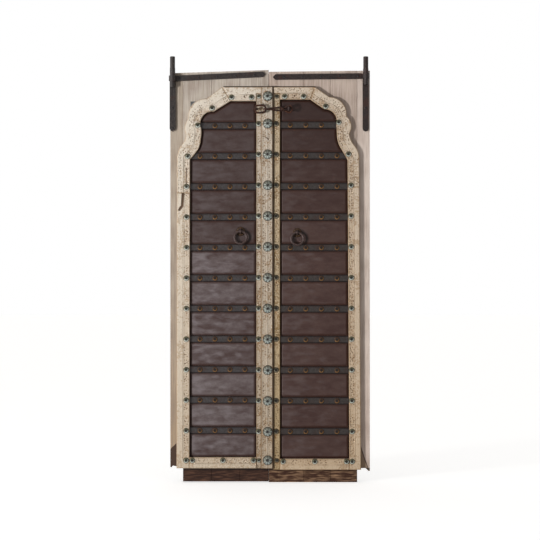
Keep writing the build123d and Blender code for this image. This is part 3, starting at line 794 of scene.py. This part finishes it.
cut_area = add(band, MATH, (bay, kept_outer), operation="MAXIMUM")
print("band areas ready:", list(areas))

# %% [markdown]
# The short cuts sit at the cell points of a Voronoi texture, which are spread evenly
# and still look set by hand. Wear has taken some of them away, so a broad noise fades
# them, together with the dark lines in the groove and round the bays.

# %% Rows of short cuts, and the dark lines
where = add(band, "GeometryNodeInputPosition")
place_x, _, place_z = add(band, SPLIT_XYZ, (where,)).outputs
seeded_x = add(band, MATH, (place_x, given["Seed"]), operation="ADD")
cell = {
    "Vector": add(band, JOIN_XYZ, {"X": seeded_x, "Y": place_z}),
    "Scale": add(band, MATH, (1.0, given["Cut Pitch"]), operation="DIVIDE"),
    "Randomness": 0.75,
}
from_cut = add(band, "ShaderNodeTexVoronoi", cell, voronoi_dimensions="2D").outputs["Distance"]
hollow = {"From Min": 0.1, "From Max": given["Cut Radius"], "To Min": 1.0, "To Max": 0.0}
hole = add(band, RANGE, {"Value": from_cut, **hollow}, **SMOOTH)
broad = add(band, MATH, (1.0, given["Fade Size"]), operation="DIVIDE")
fade = add(band, NOISE, {"Vector": where, "Scale": broad, "Detail": 2.0})
left_over = {"Value": fade, "From Min": 0.36, "From Max": 0.56, "To Min": 0.12}
kept_cuts = add(band, RANGE, left_over, **SMOOTH)
hole_here = add(band, MATH, (hole, cut_area), operation="MULTIPLY")
pit = add(band, MATH, (hole_here, kept_cuts), operation="MULTIPLY")

BAY_LINE_IN = 1.0 * MM
off_groove = add(band, MATH, (field, given["Groove At"]), operation="SUBTRACT")
groove_gap = add(band, MATH, (off_groove,), operation="ABSOLUTE")
shallow = {"From Max": SOFT_CUT, "To Min": 1.0, "To Max": 0.0}
groove = add(band, RANGE, {"Value": groove_gap, **shallow}, **SMOOTH)
off_bay = add(band, MATH, (areas["Bay"], BAY_LINE_IN), operation="SUBTRACT")
bay_gap = add(band, MATH, (off_bay,), operation="ABSOLUTE")
thin = {"From Min": 0.4 * MM, "From Max": 2.2 * MM, "To Min": 0.55, "To Max": 0.0}
bay_line = add(band, RANGE, {"Value": bay_gap, **thin}, **SMOOTH)
groove_share = add(band, MATH, (given["Outer Share"], 0.35), operation="MAXIMUM")
groove_line = add(band, MATH, (groove, groove_share), operation="MULTIPLY")
lines = add(band, MATH, (bay_line, groove_line), operation="MAXIMUM")
line = add(band, MATH, (lines, kept_cuts), operation="MULTIPLY")
print("cuts and lines ready")

# %% Wear, splits, and all depths together
GASH_DEPTH = 3.0 * MM
ROUGH_SCALE = 70.0  # for each metre, and so about 14 mm from one hump to the next
rounded = {"From Max": 3.5 * MM, "To Min": 1.0, "To Max": 0.0}
worn_edge = add(band, RANGE, {"Value": stored["rim"], **rounded}, **SMOOTH)
sharp = {"From Min": 0.5 * MM, "From Max": 3.0 * MM, "To Min": 1.0, "To Max": 0.0}
gash = add(band, RANGE, {"Value": stored["split"], **sharp}, **SMOOTH)
rough = add(band, NOISE, {"Vector": where, "Scale": ROUGH_SCALE, "Detail": 3.0})
depths = (
    (bay, given["Bay Depth"]),
    (pit, given["Cut Depth"]),
    (groove, given["Groove Depth"]),
    (worn_edge, given["Round"]),
    (rough, given["Wear"]),
    (gash, GASH_DEPTH),
)
depth = 0.0
for share, full_depth in depths:
    depth = add(band, MATH, (share, full_depth, depth), operation="MULTIPLY_ADD")
front_cut = add(band, MATH, (depth, stored["front"]), operation="MULTIPLY")
moved = {"Geometry": given["Geometry"], "Offset": add(band, JOIN_XYZ, {"Y": front_cut})}
cut = add(band, "GeometryNodeSetPosition", moved)
for label, value in (("sunk", front_cut), ("pit", pit), ("line", line)):
    kept = {"Geometry": cut, "Name": label, "Value": value}
    cut = add(band, STORE, kept, data_type="FLOAT", domain="POINT")
close_tree(band, given, cut)

# %% [markdown]
# The border was limewashed cream and then rubbed by hands and weather. The wash stays
# pale on the high faces. The short cuts hold dark oily dust, the worn outer edge and
# the foot show tan wood, and rust has run down from the nails. Each of these is a
# coat over the wash, laid by a value that the carving stored at the points.

# %% Border material: carved hardwood under worn limewash
def limewash_material(name, wash_high, wash_low, tan, cuts, dirt=0.65):
    """Limewashed carving: pale wash, tan wear, dark cuts, rust under the nails."""
    material, tree = start_material(name)
    patterns = {
        "cloud": (45.0, 45.0, 45.0, 5.0),
        "fleck": (8.0, 8.0, 8.0, 4.0),
        "grain": (3.0, 3.0, 30.0, 3.0),
    }
    labels = ("sunk", "pit", "line", "rim", "streak", "split", "seat")
    read = read_piece(tree, patterns, labels)
    tall = add(tree, MATH, (read["cloud"], 1.6, read["z"]), operation="MULTIPLY_ADD")
    dirt_and_shadow = add(tree, MATH, (read["fleck"], read["cloud"]), operation="MULTIPLY")
    edge = add(tree, MATH, (read["fleck"], -6.0 * MM, read["rim"]), operation="MULTIPLY_ADD")
    coats = (
        (tall, 0.9, 2.6, 1.0, wash_high),
        (read["grain"], 0.52, 0.72, 0.35, tan),
        (dirt_and_shadow, 0.25, 0.34, dirt, tan),
        (read["sunk"], 1.4 * MM, 3.4 * MM, 0.5, tan),
        (read["line"], 0.1, 0.9, 0.85, cuts),
        (read["pit"], 0.15, 0.75, 0.85, cuts),
        (edge, 1.5 * MM, -2.0 * MM, 0.75, tan),
        (read["streak"], 0.05, 0.9, 0.75, "#8a5a34"),
        (read["split"], 5.0 * MM, 2.2 * MM, 0.9, "#432a17"),
        (read["seat"], 3.0 * MM, 0.0, 0.7, "#4a3a2c"),
    )
    relief = {"Strength": 0.4, "Distance": 0.8 * MM, "Height": read["fleck"]}
    look = {
        "Base Color": paint(tree, wash_low, *coats),
        "Roughness": 0.8,
        "Specular IOR Level": 0.3,
        "Normal": add(tree, BUMP, relief),
    }
    add(tree, OUTPUT, {"Surface": add(tree, SURFACE, look)})
    return material


limewash_colours = {
    "left": ("", "#d0c6b8", "#bfb09c", "#9f866a", "#6a5642"),
    "middle": (", handled", "#beb3a5", "#aa9b88", "#8a7052", "#5e4a36", 0.85),
    "right": (", tan", "#c6b7a5", "#bca78d", "#977a5a", "#5c4630"),
    "strip": (", rubbed brown", "#b4a38b", "#a5906f", "#80643f", "#4e3c28", 0.85),
}
limewash = {
    place: limewash_material(f"limewashed carved hardwood{kind}", *colours)
    for place, (kind, *colours) in limewash_colours.items()
}
print("border finishes:", [finish.name for finish in limewash.values()])

# %% [markdown]
# A few border pieces have split. Each split is a short broken line, in millimetres,
# with half its width first. A negative half width gives a finer line than the cut's
# own soft edge would.

# %% Give a blank its distances and carve it
CARVE_PITCH = 1.8 * MM
STREAK_LENGTH = 48.0 * MM
STREAK_HALF = 7.0 * MM
FAR = 1.0
marks = {
    "left_stile_trim": (3.0, (-433.0, 1446.0), (-436.0, 1385.0), (-450.0, 1365.0)),
    "left_haunch_trim": (-1.5, (-415.0, 1573.0), (-416.0, 1493.0)),
    "left_head_trim": (0.0, (-125.5, 1931.5), (-125.5, 1929.5)),
    "right_head_trim": (0.0, (125.0, 1935.0), (125.0, 1933.0)),
    "astragal": (-1.0, (-22.0, 1727.0), (-8.0, 1721.0), (-5.0, 1714.0)),
}


def split_gaps(name, points):
    """How far points are from the split of a piece; far, where it has none."""
    if name not in marks:
        return np.full(len(points), FAR)
    half_width, *ends = marks[name]
    ends = np.array(ends) * MM
    gap, _ = segment_distance(points, ends[:-1], ends[1:])
    return np.maximum(gap - half_width * MM, 0)


def carve(name, outline, field_edges, spots, finish, seed, setback=0.0, **sizes):
    """Carves a node's blank by the distances from its rim, its field edges and its nails."""
    low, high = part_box(name)
    piece, points = relief_object(f"carved_{name}", outline, low.y, high.y - setback, CARVE_PITCH)
    across = points[:, 0][:, None] - spots[:, 0]
    below = spots[:, 2] - points[:, 1][:, None]
    strength = np.random.default_rng(seed).uniform(0.2, 1.0, len(spots))
    narrow = np.clip(1 - np.abs(across) / STREAK_HALF, 0, 1)
    streak = narrow * np.clip(1 - below / STREAK_LENGTH, 0, 1)
    values = {
        "rim": segment_distance(points, *edges_of(outline))[0],
        "field": segment_distance(points, *field_edges)[0],
        "nail": np.min(np.hypot(across, below), axis=1),
        "seat": np.min(np.hypot(across, below) - spots[:, 3], axis=1),
        "streak": np.max(streak * (below > 0) * strength, axis=1),
        "split": split_gaps(name, points),
        "front": np.ones(len(points)),
    }
    for label, value in values.items():
        store(piece, label, value)
    run_tree(piece, band, finish, Seed=seed, **sizes)
    finish_piece(piece, name)


print("carver ready, splits on", len(marks), "pieces")

# %% [markdown]
# Four pieces frame the field of each leaf. The edges of a piece that lie against the
# sheets are its field edges. The upright pieces leave their outer band plain, and the
# rail is cut more lightly there.

# %% Carve the border
NEAR_FIELD = 4.0 * MM
SEEDS_PER_SIDE = 10
outer_shares = {"stile_trim": 0.0, "haunch_trim": 1.0, "head_trim": 1.0, "rail_trim": 0.6}
for side in SIDES:
    sheet_edges = [np.vstack(ends) for ends in zip(*map(edges_of, sheet_outlines[side]))]
    for number, (trim, outer_share) in enumerate(outer_shares.items()):
        outline = outlines(f"{side}_{trim}")[0]
        starts, ends = edges_of(outline)
        reach, _ = segment_distance((starts + ends) / 2, *sheet_edges)
        facing = reach < NEAR_FIELD
        carve(
            f"{side}_{trim}",
            outline,
            (starts[facing], ends[facing]),
            nail_spots[side],
            limewash[side],
            number + SEEDS_PER_SIDE * SIDES.index(side),
            Outer_Share=outer_share,
        )

# %% [markdown]
# ## Strips and cover strip
# Two upright strips flank the cover strip over the joint of the leaves. They carry
# the same cuts, with bays between the nails or bosses. Here the band runs straight, so
# the long sides stand in for the field edges. The cover strip has a smooth raised line
# down its middle. The strips have none, so their bays and groove end past the middle.

# %% Carve the strips and the cover strip
COVER_REBATE = 0.8 * MM
PAST_MIDDLE = 1.0  # in metres, and so further than any strip is wide
FIRST_STRIP_SEED = 30
boss_spots = islands("astragal_bosses")
uprights = {
    "left_inner_strip": (nail_spots["left"], limewash["middle"], 21.0 * MM, 3.0 * MM, PAST_MIDDLE),
    "right_inner_strip": (nail_spots["right"], limewash["strip"], 21.0 * MM, 4.0 * MM, PAST_MIDDLE),
    "astragal": (boss_spots, limewash["middle"], 29.0 * MM, 5.0 * MM, 23.0 * MM),
}
for number, (name, (spots, finish, pad, bay_from, ridge)) in enumerate(uprights.items()):
    low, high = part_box(name)
    outline = np.array([(low.x, low.z), (high.x, low.z), (high.x, high.z), (low.x, high.z)])
    carve(
        name,
        outline,
        [ends[1::2] for ends in edges_of(outline)],
        spots,
        finish,
        number + FIRST_STRIP_SEED,
        setback=COVER_REBATE if name == "astragal" else 0.0,
        Pad_Radius=pad,
        Bay_From=bay_from,
        Bay_To=ridge,
        Bay_Depth=1.2 * MM,
        Groove_At=ridge,
        Groove_Depth=1.0 * MM,
        Cut_Pitch=11.0 * MM,
        Outer_Share=0.0,
    )

# %% [markdown]
# ## Heads of nails, studs and bosses
# Heads repeat hundreds of times, so one tree places a small head on every point that
# the CAD model gives. The head is half of a flattened ball. A smooth dip in its
# middle makes the dark eye of a worn nail, and a wave round its rim cuts petals.

# %% The shape of a head
BELOW_EQUATOR = -0.01
head_sizes = {
    "Radius": 13.5 * MM,
    "Height": 7.0 * MM,
    "Eye": 0.35,
    "Eye Depth": 2.0 * MM,
    "Petals": 0.0,
    "Petal Depth": 0.0,
    "Tilt": 0.07,
    "Seed": 1,
}


def head_shape(tree, given, segments, rings):
    """Half a ball, flattened to the given radius and height, with its eye and petals."""
    counts = {"Segments": segments, "Rings": 2 * rings, "Radius": 1.0}
    ball = add(tree, "GeometryNodeMeshUVSphere", counts)
    spot = add(tree, "GeometryNodeInputPosition")
    x, y, z = add(tree, SPLIT_XYZ, (spot,)).outputs
    below = add(tree, "FunctionNodeCompare", (z, BELOW_EQUATOR), operation="LESS_THAN")
    dome = add(tree, "GeometryNodeDeleteGeometry", (ball, below), domain="POINT")
    flat = add(tree, VECTOR_MATH, (spot, (1.0, 1.0, 0.0)), operation="MULTIPLY")
    radial = add(tree, VECTOR_MATH, (flat,), operation="LENGTH").outputs["Value"]
    angle = add(tree, MATH, (y, x), operation="ARCTAN2")
    turns = add(tree, MATH, (angle, given["Petals"]), operation="MULTIPLY")
    wave = add(tree, MATH, (turns,), operation="COSINE")
    rim_wave = add(tree, MATH, (wave, radial), operation="MULTIPLY")
    petal_cut = add(tree, MATH, (rim_wave, given["Petal Depth"]), operation="MULTIPLY")
    dip = {"Value": radial, "From Max": given["Eye"], "To Min": 1.0, "To Max": 0.0}
    eye = add(tree, RANGE, dip, **SMOOTH)
    cuts = add(tree, MATH, (eye, given["Eye Depth"], petal_cut), operation="MULTIPLY_ADD")
    domed = add(tree, MATH, (z, given["Height"]), operation="MULTIPLY")
    level = add(tree, MATH, (domed, cuts), operation="SUBTRACT")
    above = add(tree, MATH, (level, 0.0), operation="MAXIMUM")
    wide = add(tree, VECTOR_MATH, {0: flat, "Scale": given["Radius"]}, operation="SCALE")
    shaped = add(tree, VECTOR_MATH, (wide, add(tree, JOIN_XYZ, {"Z": above})), operation="ADD")
    head = dome
    for label, value in (("radial", radial), ("valley", petal_cut)):
        kept = {"Geometry": head, "Name": label, "Value": value}
        head = add(tree, STORE, kept, data_type="FLOAT", domain="POINT")
    return add(tree, "GeometryNodeSetPosition", {"Geometry": head, "Position": shaped})


print("head sizes:", list(head_sizes))

# %% [markdown]
# The tree then turns each head at random and tilts it slightly, as a hammer leaves
# them. Each seat keeps a size of its own, because the end nails of the strips are
# smaller.

# %% A tree that sets heads on points
def heads_tree(name, segments, rings):
    """A geometry tree that sets hammered heads on the points of a mesh."""
    tree, given, stored = new_tree(name, head_sizes, "size")
    other_way = add(tree, MATH, (given["Tilt"], -1.0), operation="MULTIPLY")
    kind = "FunctionNodeRandomValue"
    tilt = {2: other_way, 3: given["Tilt"], "Seed": given["Seed"]}
    lean = add(tree, kind, tilt, data_type="FLOAT").outputs[1]
    turn = {3: 2 * math.pi, "Seed": given["Seed"]}
    spin = add(tree, kind, turn, data_type="FLOAT").outputs[1]
    facing = add(tree, MATH, (lean, math.pi / 2), operation="ADD")
    turned = add(tree, JOIN_XYZ, {"X": facing, "Z": lean})
    about = add(tree, JOIN_XYZ, {"Z": spin})
    seats = {
        "Points": given["Geometry"],
        "Instance": head_shape(tree, given, segments, rings),
        "Rotation": add(tree, "FunctionNodeRotateRotation", (turned, about), rotation_space="LOCAL"),
        "Scale": stored["size"],
    }
    close_tree(tree, given, add(tree, "GeometryNodeInstanceOnPoints", seats))
    return tree


nail_tree = heads_tree("nail heads", segments=16, rings=5)
boss_tree = heads_tree("petalled heads", segments=48, rings=9)

# %% [markdown]
# Old heads are not one colour. Tinned iron goes greenish brown above and black in the
# eye. Its lower side gets a pale painted highlight, as a low lamp would give, and a
# painted contact shade draws a dark line round its foot. Strap studs have lost their tin
# and show brown rust, with a brown painted highlight below. The material reads the
# distance from the middle that the tree stored, and how far the surface looks down. The
# painted highlight is turned a little to the right.

# %% Head material: pale lower side, brown upper side, dark eye
HIGHLIGHT_TURNED_RIGHT = 0.4
EYE_FADE = 0.24


def head_material(name, lower_highlight, upper, eye, rim, groove, metallic, roughness, eye_reach=0.84):
    """A hammered head: two tones by which way it faces, the lower one a painted highlight, a dark eye,
    and a painted shade line round its foot.
    """
    material, tree = start_material(name)
    read = read_piece(tree, {"mottle": (6.0, 6.0, 6.0, 4.0)}, ("radial", "valley"))
    normal = add(tree, "ShaderNodeTexCoord").outputs["Normal"]
    looks_right, _, looks_up = add(tree, SPLIT_XYZ, (normal,)).outputs
    facing = (looks_right, -HIGHLIGHT_TURNED_RIGHT, looks_up)
    turned = add(tree, MATH, facing, operation="MULTIPLY_ADD")
    wavy = add(tree, MATH, (read["mottle"], 0.3, read["radial"]), operation="MULTIPLY_ADD")
    # where the painted highlight falls: on the side that looks down, turned a little to the right
    side = add(tree, MATH, (read["mottle"], -0.5, turned), operation="MULTIPLY_ADD")
    coats = (
        (side, -0.1, -0.6, 1.0, lower_highlight),
        (read["valley"], 0.2 * MM, 1.2 * MM, 0.85, groove),
        (wavy, eye_reach, eye_reach - EYE_FADE, 0.95, eye),
        # a dark line of painted contact shade round the foot of the head
        (wavy, 1.0, 1.12, 0.8, rim),
    )
    look = {
        "Base Color": paint(tree, upper, *coats),
        "Metallic": metallic,
        "Roughness": roughness,
        "Specular IOR Level": 0.3,
    }
    add(tree, OUTPUT, {"Surface": add(tree, SURFACE, look)})
    return material


# Each row: the painted highlight of the lower side, the upper colour, the eye, the painted shade round
# the foot, the petal groove, metallic, roughness, and at times the eye's reach.
head_colours = {
    "tinned iron nail": ("#c2c8be", "#57553f", "#17110f", "#2e271e", "#3a342a", 0.2, 0.46),
    "tinned iron nail, browned": ("#827b68", "#3f3929", "#140e0c", "#261f17", "#30291f", 0.2, 0.5),
    "rusted iron stud": ("#7c5a35", "#3f2a1a", "#100907", "#1a100b", "#20140e", 0.15, 0.65),
    "tinned iron boss": ("#a1aaa6", "#67675d", "#1a1512", "#332d25", "#4b4840", 0.3, 0.42, 0.6),
    "black iron nail": ("#3c3838", "#2b2727", "#1c1918", "#1c1918", "#1c1918", 0.3, 0.5),
    "tarnished brass plate": ("#442e19", "#3a2614", "#120b08", "#140c08", "#1e140c", 0.35, 0.55),
}
head_finish = {name: head_material(name, *colours) for name, colours in head_colours.items()}
print("head finishes:", len(head_finish))

# %% [markdown]
# The heads differ in size and skin, so each kind gets a row: its skin, its radius and
# height, the reach of its eye as a share and its depth, and for petals their number and
# depth. Radius, height and depths are in millimetres.

# %% Set the heads
nail_kinds = {
    "trim_nails": ("tinned iron nail", 13.5, 7.0, 0.5, 3.0),
    "strip_nails": ("tinned iron nail", 13.5, 7.0, 0.5, 3.0),
    "strap_studs": ("rusted iron stud", 13.5, 6.0, 0.5, 2.5),
    "iron_nails": ("black iron nail", 6.0, 3.0, 0.1, 0.0),
}
plate = (boss_tree, "tarnished brass plate", 23.5, 4.0, 0.3, 1.0, 8.0, 0.8)
heads = {}
for side in SIDES:
    for kind, rule in nail_kinds.items():
        heads[f"{side}_{kind}"] = (nail_tree, *rule)
    heads[f"{side}_pull_rosette"] = plate
_, *strip_nail_sizes = nail_kinds["strip_nails"]
heads["right_strip_nails"] = (nail_tree, "tinned iron nail, browned", *strip_nail_sizes)
heads["astragal_bosses"] = (boss_tree, "tinned iron boss", 23.5, 12.0, 0.3, 3.0, 8.0, 1.7)


def set_heads(name, tree, finish, radius, height, eye, eye_depth, petals=0.0, petal_depth=0.0):
    """Heads on the seats of a node, sizes in millimetres."""
    spots = islands(name)
    seats = bpy.data.meshes.new(name)
    seats.from_pydata([tuple(spot[:3]) for spot in spots], [], [])
    piece = new_object(f"hammered_{name}", seats)
    store(piece, "size", spots[:, 3] / spots[:, 3].max())
    run_tree(
        piece,
        tree,
        head_finish[finish],
        Radius=radius * MM,
        Height=height * MM,
        Eye=eye,
        Eye_Depth=eye_depth * MM,
        Petals=petals,
        Petal_Depth=petal_depth * MM,
    )
    finish_piece(piece, name, smooth=True)


for name, rule in heads.items():
    set_heads(name, *rule)

# %% [markdown]
# ## Straps and top irons
# The straps are flat bars of forged iron, bluer and darker than the sheets, with a
# near-black painted shade, and some dirt, along their edges. The CAD pieces already have
# the right form, so they only get a finish. The straps come at an even pitch, so a
# remainder of the height tells how far a point is from its strap's middle line. The
# irons at the top are blacker and rougher. The small patch behind the left haunch is
# zinc, which looks pale and dull.

# %% Forged material: black scale, worn spots and a little rust
def forged_material(name, scale_colour, worn, rust, roughness, relief_share, rows=None):
    """Forged iron; rows are the height and the pitch of straps, whose edges get a painted shade with
    some dirt.
    """
    material, tree = start_material(name)
    read = read_piece(tree, {"pits": (8.0, 8.0, 8.0, 6.0), "broad": (40.0, 40.0, 40.0, 3.0)})
    coats = [(read["pits"], 0.36, 0.7, 1.0, worn), (read["broad"], 0.52, 0.7, 0.7, rust)]
    if rows:
        first, pitch = rows
        counted = add(tree, MATH, (read["z"], first), operation="SUBTRACT")
        centred = add(tree, MATH, (counted, -pitch / 2, pitch / 2), operation="WRAP")
        off_middle = add(tree, MATH, (centred,), operation="ABSOLUTE")
        # near-black painted shade, with some dirt, along each strap's edges
        coats.append((off_middle, 11.5 * MM, 15.0 * MM, 0.85, "#1b1211"))
    relief = {"Strength": relief_share, "Distance": 0.6 * MM, "Height": read["pits"]}
    look = {
        "Base Color": paint(tree, scale_colour, *coats),
        "Metallic": 0.25,
        "Roughness": roughness,
        "Specular IOR Level": 0.35,
        "Normal": add(tree, BUMP, relief),
    }
    add(tree, OUTPUT, {"Surface": add(tree, SURFACE, look)})
    return material


strap_colours = {"left": ("#302b2b", "#3f3c3c"), "right": ("#2d2725", "#3b3634")}
top_colours = {
    "left": ("black", "#231e1d", "#38322f", "#33211a"),
    "right": ("brown-black", "#1f1715", "#332927", "#3a2018"),
}
forged_finish = {}
for side in SIDES:
    first_row, second_row = strap_rows[side][:2]
    rows = (first_row, first_row - second_row)
    strap_rule = (*strap_colours[side], "#33221d", 0.5, 0.2, rows)
    forged_finish[f"{side}_straps"] = forged_material(f"forged iron strap, {side}", *strap_rule)
    shade, *colours = top_colours[side]
    top_iron = forged_material(f"forged iron, {shade}", *colours, 0.55, 0.5)
    forged_finish[f"{side}_pivot_iron"] = forged_finish[f"{side}_top_strap"] = top_iron
    print(side, "strap pitch:", round(first_row - second_row, 4), "m")
zinc = ("dull zinc patch", "#55585b", "#6d7173", "#45423f", 0.55, 0.3)
forged_finish["left_patch"] = forged_material(*zinc)
for name, finish in forged_finish.items():
    nodes[name].data.materials.clear()
    nodes[name].data.materials.append(finish)

# %% [markdown]
# ## Rings and chain
# Rings, staples and links are forged round bars. The CAD bars have eight flat sides
# and bend in short flats. A Subdivision Surface over the joined mesh rounds both at
# once. It pulls an eight-sided bar in by a tenth of its radius or more, so the points
# first move out along their normals. They move less from front to back, where a swung
# ring has to clear the straps.

# %% Round the forged bars
SAME_PLANE = 0.01  # radians between two triangles of one flat side
ring_iron = forged_material("forged iron ring", "#2c201e", "#53423e", "#38241b", 0.45, 0.3)
chain_iron = forged_material("rusted chain iron", "#1f0e08", "#3c1f11", "#522c1b", 0.65, 0.5)
swell_of_slot = {
    "ring_iron": (0.9 * MM, 0.4 * MM, 0.9 * MM),
    "latch_iron": (1.3 * MM, 0.5 * MM, 1.3 * MM),
}
for name in [name for name in nodes if slot_of[name] in swell_of_slot]:
    slot = slot_of[name]
    bar = merged_copy(name)
    bmesh.ops.dissolve_limit(bar, angle_limit=SAME_PLANE, verts=bar.verts, edges=bar.edges)
    bar.normal_update()
    for vert in bar.verts:
        vert.co += vert.normal * Vector(swell_of_slot[slot])
    piece = object_from(bar, f"forged_{name}")
    rounding = piece.modifiers.new("round", "SUBSURF")
    rounding.levels = rounding.render_levels = 2
    settle(piece, rounding)
    dark = slot == "ring_iron" or name == "latch_keeper"
    piece.data.materials.append(ring_iron if dark else chain_iron)
    finish_piece(piece, name, smooth=True)

# %% [markdown]
# ## Light, floor and camera
# The light comes from low on the left, so that shadows fall to the right and a little
# up, with a pale surround that fills them softly. The floor and the surround look
# white to the camera through Light Path, which adds no light to the object.

# %% Surround and floor
FILL = 0.43
WHITE = linear("#ffffff")
world = bpy.data.worlds.new("pale surround")
bpy.context.scene.world = world
world.use_nodes = True
tree = world.node_tree
tree.nodes.clear()
rays = add(tree, "ShaderNodeLightPath").outputs
seen = rays["Is Camera Ray"]
for ray in ("Is Glossy Ray", "Is Transmission Ray"):
    seen = add(tree, MATH, (seen, rays[ray]), operation="MAXIMUM")
strength = add(tree, RANGE, {"Value": seen, "To Min": FILL, "To Max": 1.0})
light = add(tree, "ShaderNodeBackground", {"Color": WHITE, "Strength": strength})
add(tree, "ShaderNodeOutputWorld", {"Surface": light})

FLOOR_HALF = 30.0
floor_finish, tree = start_material("pale studio floor")
seen = add(tree, "ShaderNodeLightPath").outputs["Is Camera Ray"]
look = {
    "Base Color": linear("#e8e6e3"),
    "Roughness": 0.9,
    "Emission Color": WHITE,
    "Emission Strength": add(tree, RANGE, {"Value": seen, "To Max": 0.6}),
}
add(tree, OUTPUT, {"Surface": add(tree, SURFACE, look)})
floor_mesh = bpy.data.meshes.new("floor")
corners = [(-1, -1), (1, -1), (1, 1), (-1, 1)]
floor_mesh.from_pydata([(x * FLOOR_HALF, y * FLOOR_HALF, 0) for x, y in corners], [], [(0, 1, 2, 3)])
floor_mesh.materials.append(floor_finish)
new_object("floor", floor_mesh)
print("surround fills at", FILL)

# %% [markdown]
# One soft lamp is the key. The camera stands straight in front, so far away that the
# leaves hardly narrow in depth, and its lens is worked out from the width it has to see.

# %% Key light and camera
def aim(name, data, place, target):
    """Puts a lamp or camera at a place and turns it to a target."""
    thing = new_object(name, data)
    thing.location = place
    thing.rotation_euler = (Vector(target) - Vector(place)).to_track_quat("-Z", "Y").to_euler()
    return thing


key_lamp = bpy.data.lights.new("key", "AREA")
key_lamp.size = 0.7
key_lamp.energy = 520.0
low_left = (-5.7, -4.9, 0.5)
door_middle = (0.0, 0.0, 1.1)
aim("key", key_lamp, low_left, door_middle)

VIEW_WIDTH = 2.7
VIEW_DISTANCE = 8.0
middle_x, front_y, middle_z = 0.0025, -0.025, 1.0635
camera_data = bpy.data.cameras.new("camera")
camera_data.lens = camera_data.sensor_width * VIEW_DISTANCE / VIEW_WIDTH
view_from = (middle_x, front_y - VIEW_DISTANCE, middle_z)
scene = bpy.context.scene
scene.camera = aim("camera", camera_data, view_from, (middle_x, front_y, middle_z))
scene.view_settings.view_transform = "Standard"
print("camera lens:", round(camera_data.lens, 1), "mm")
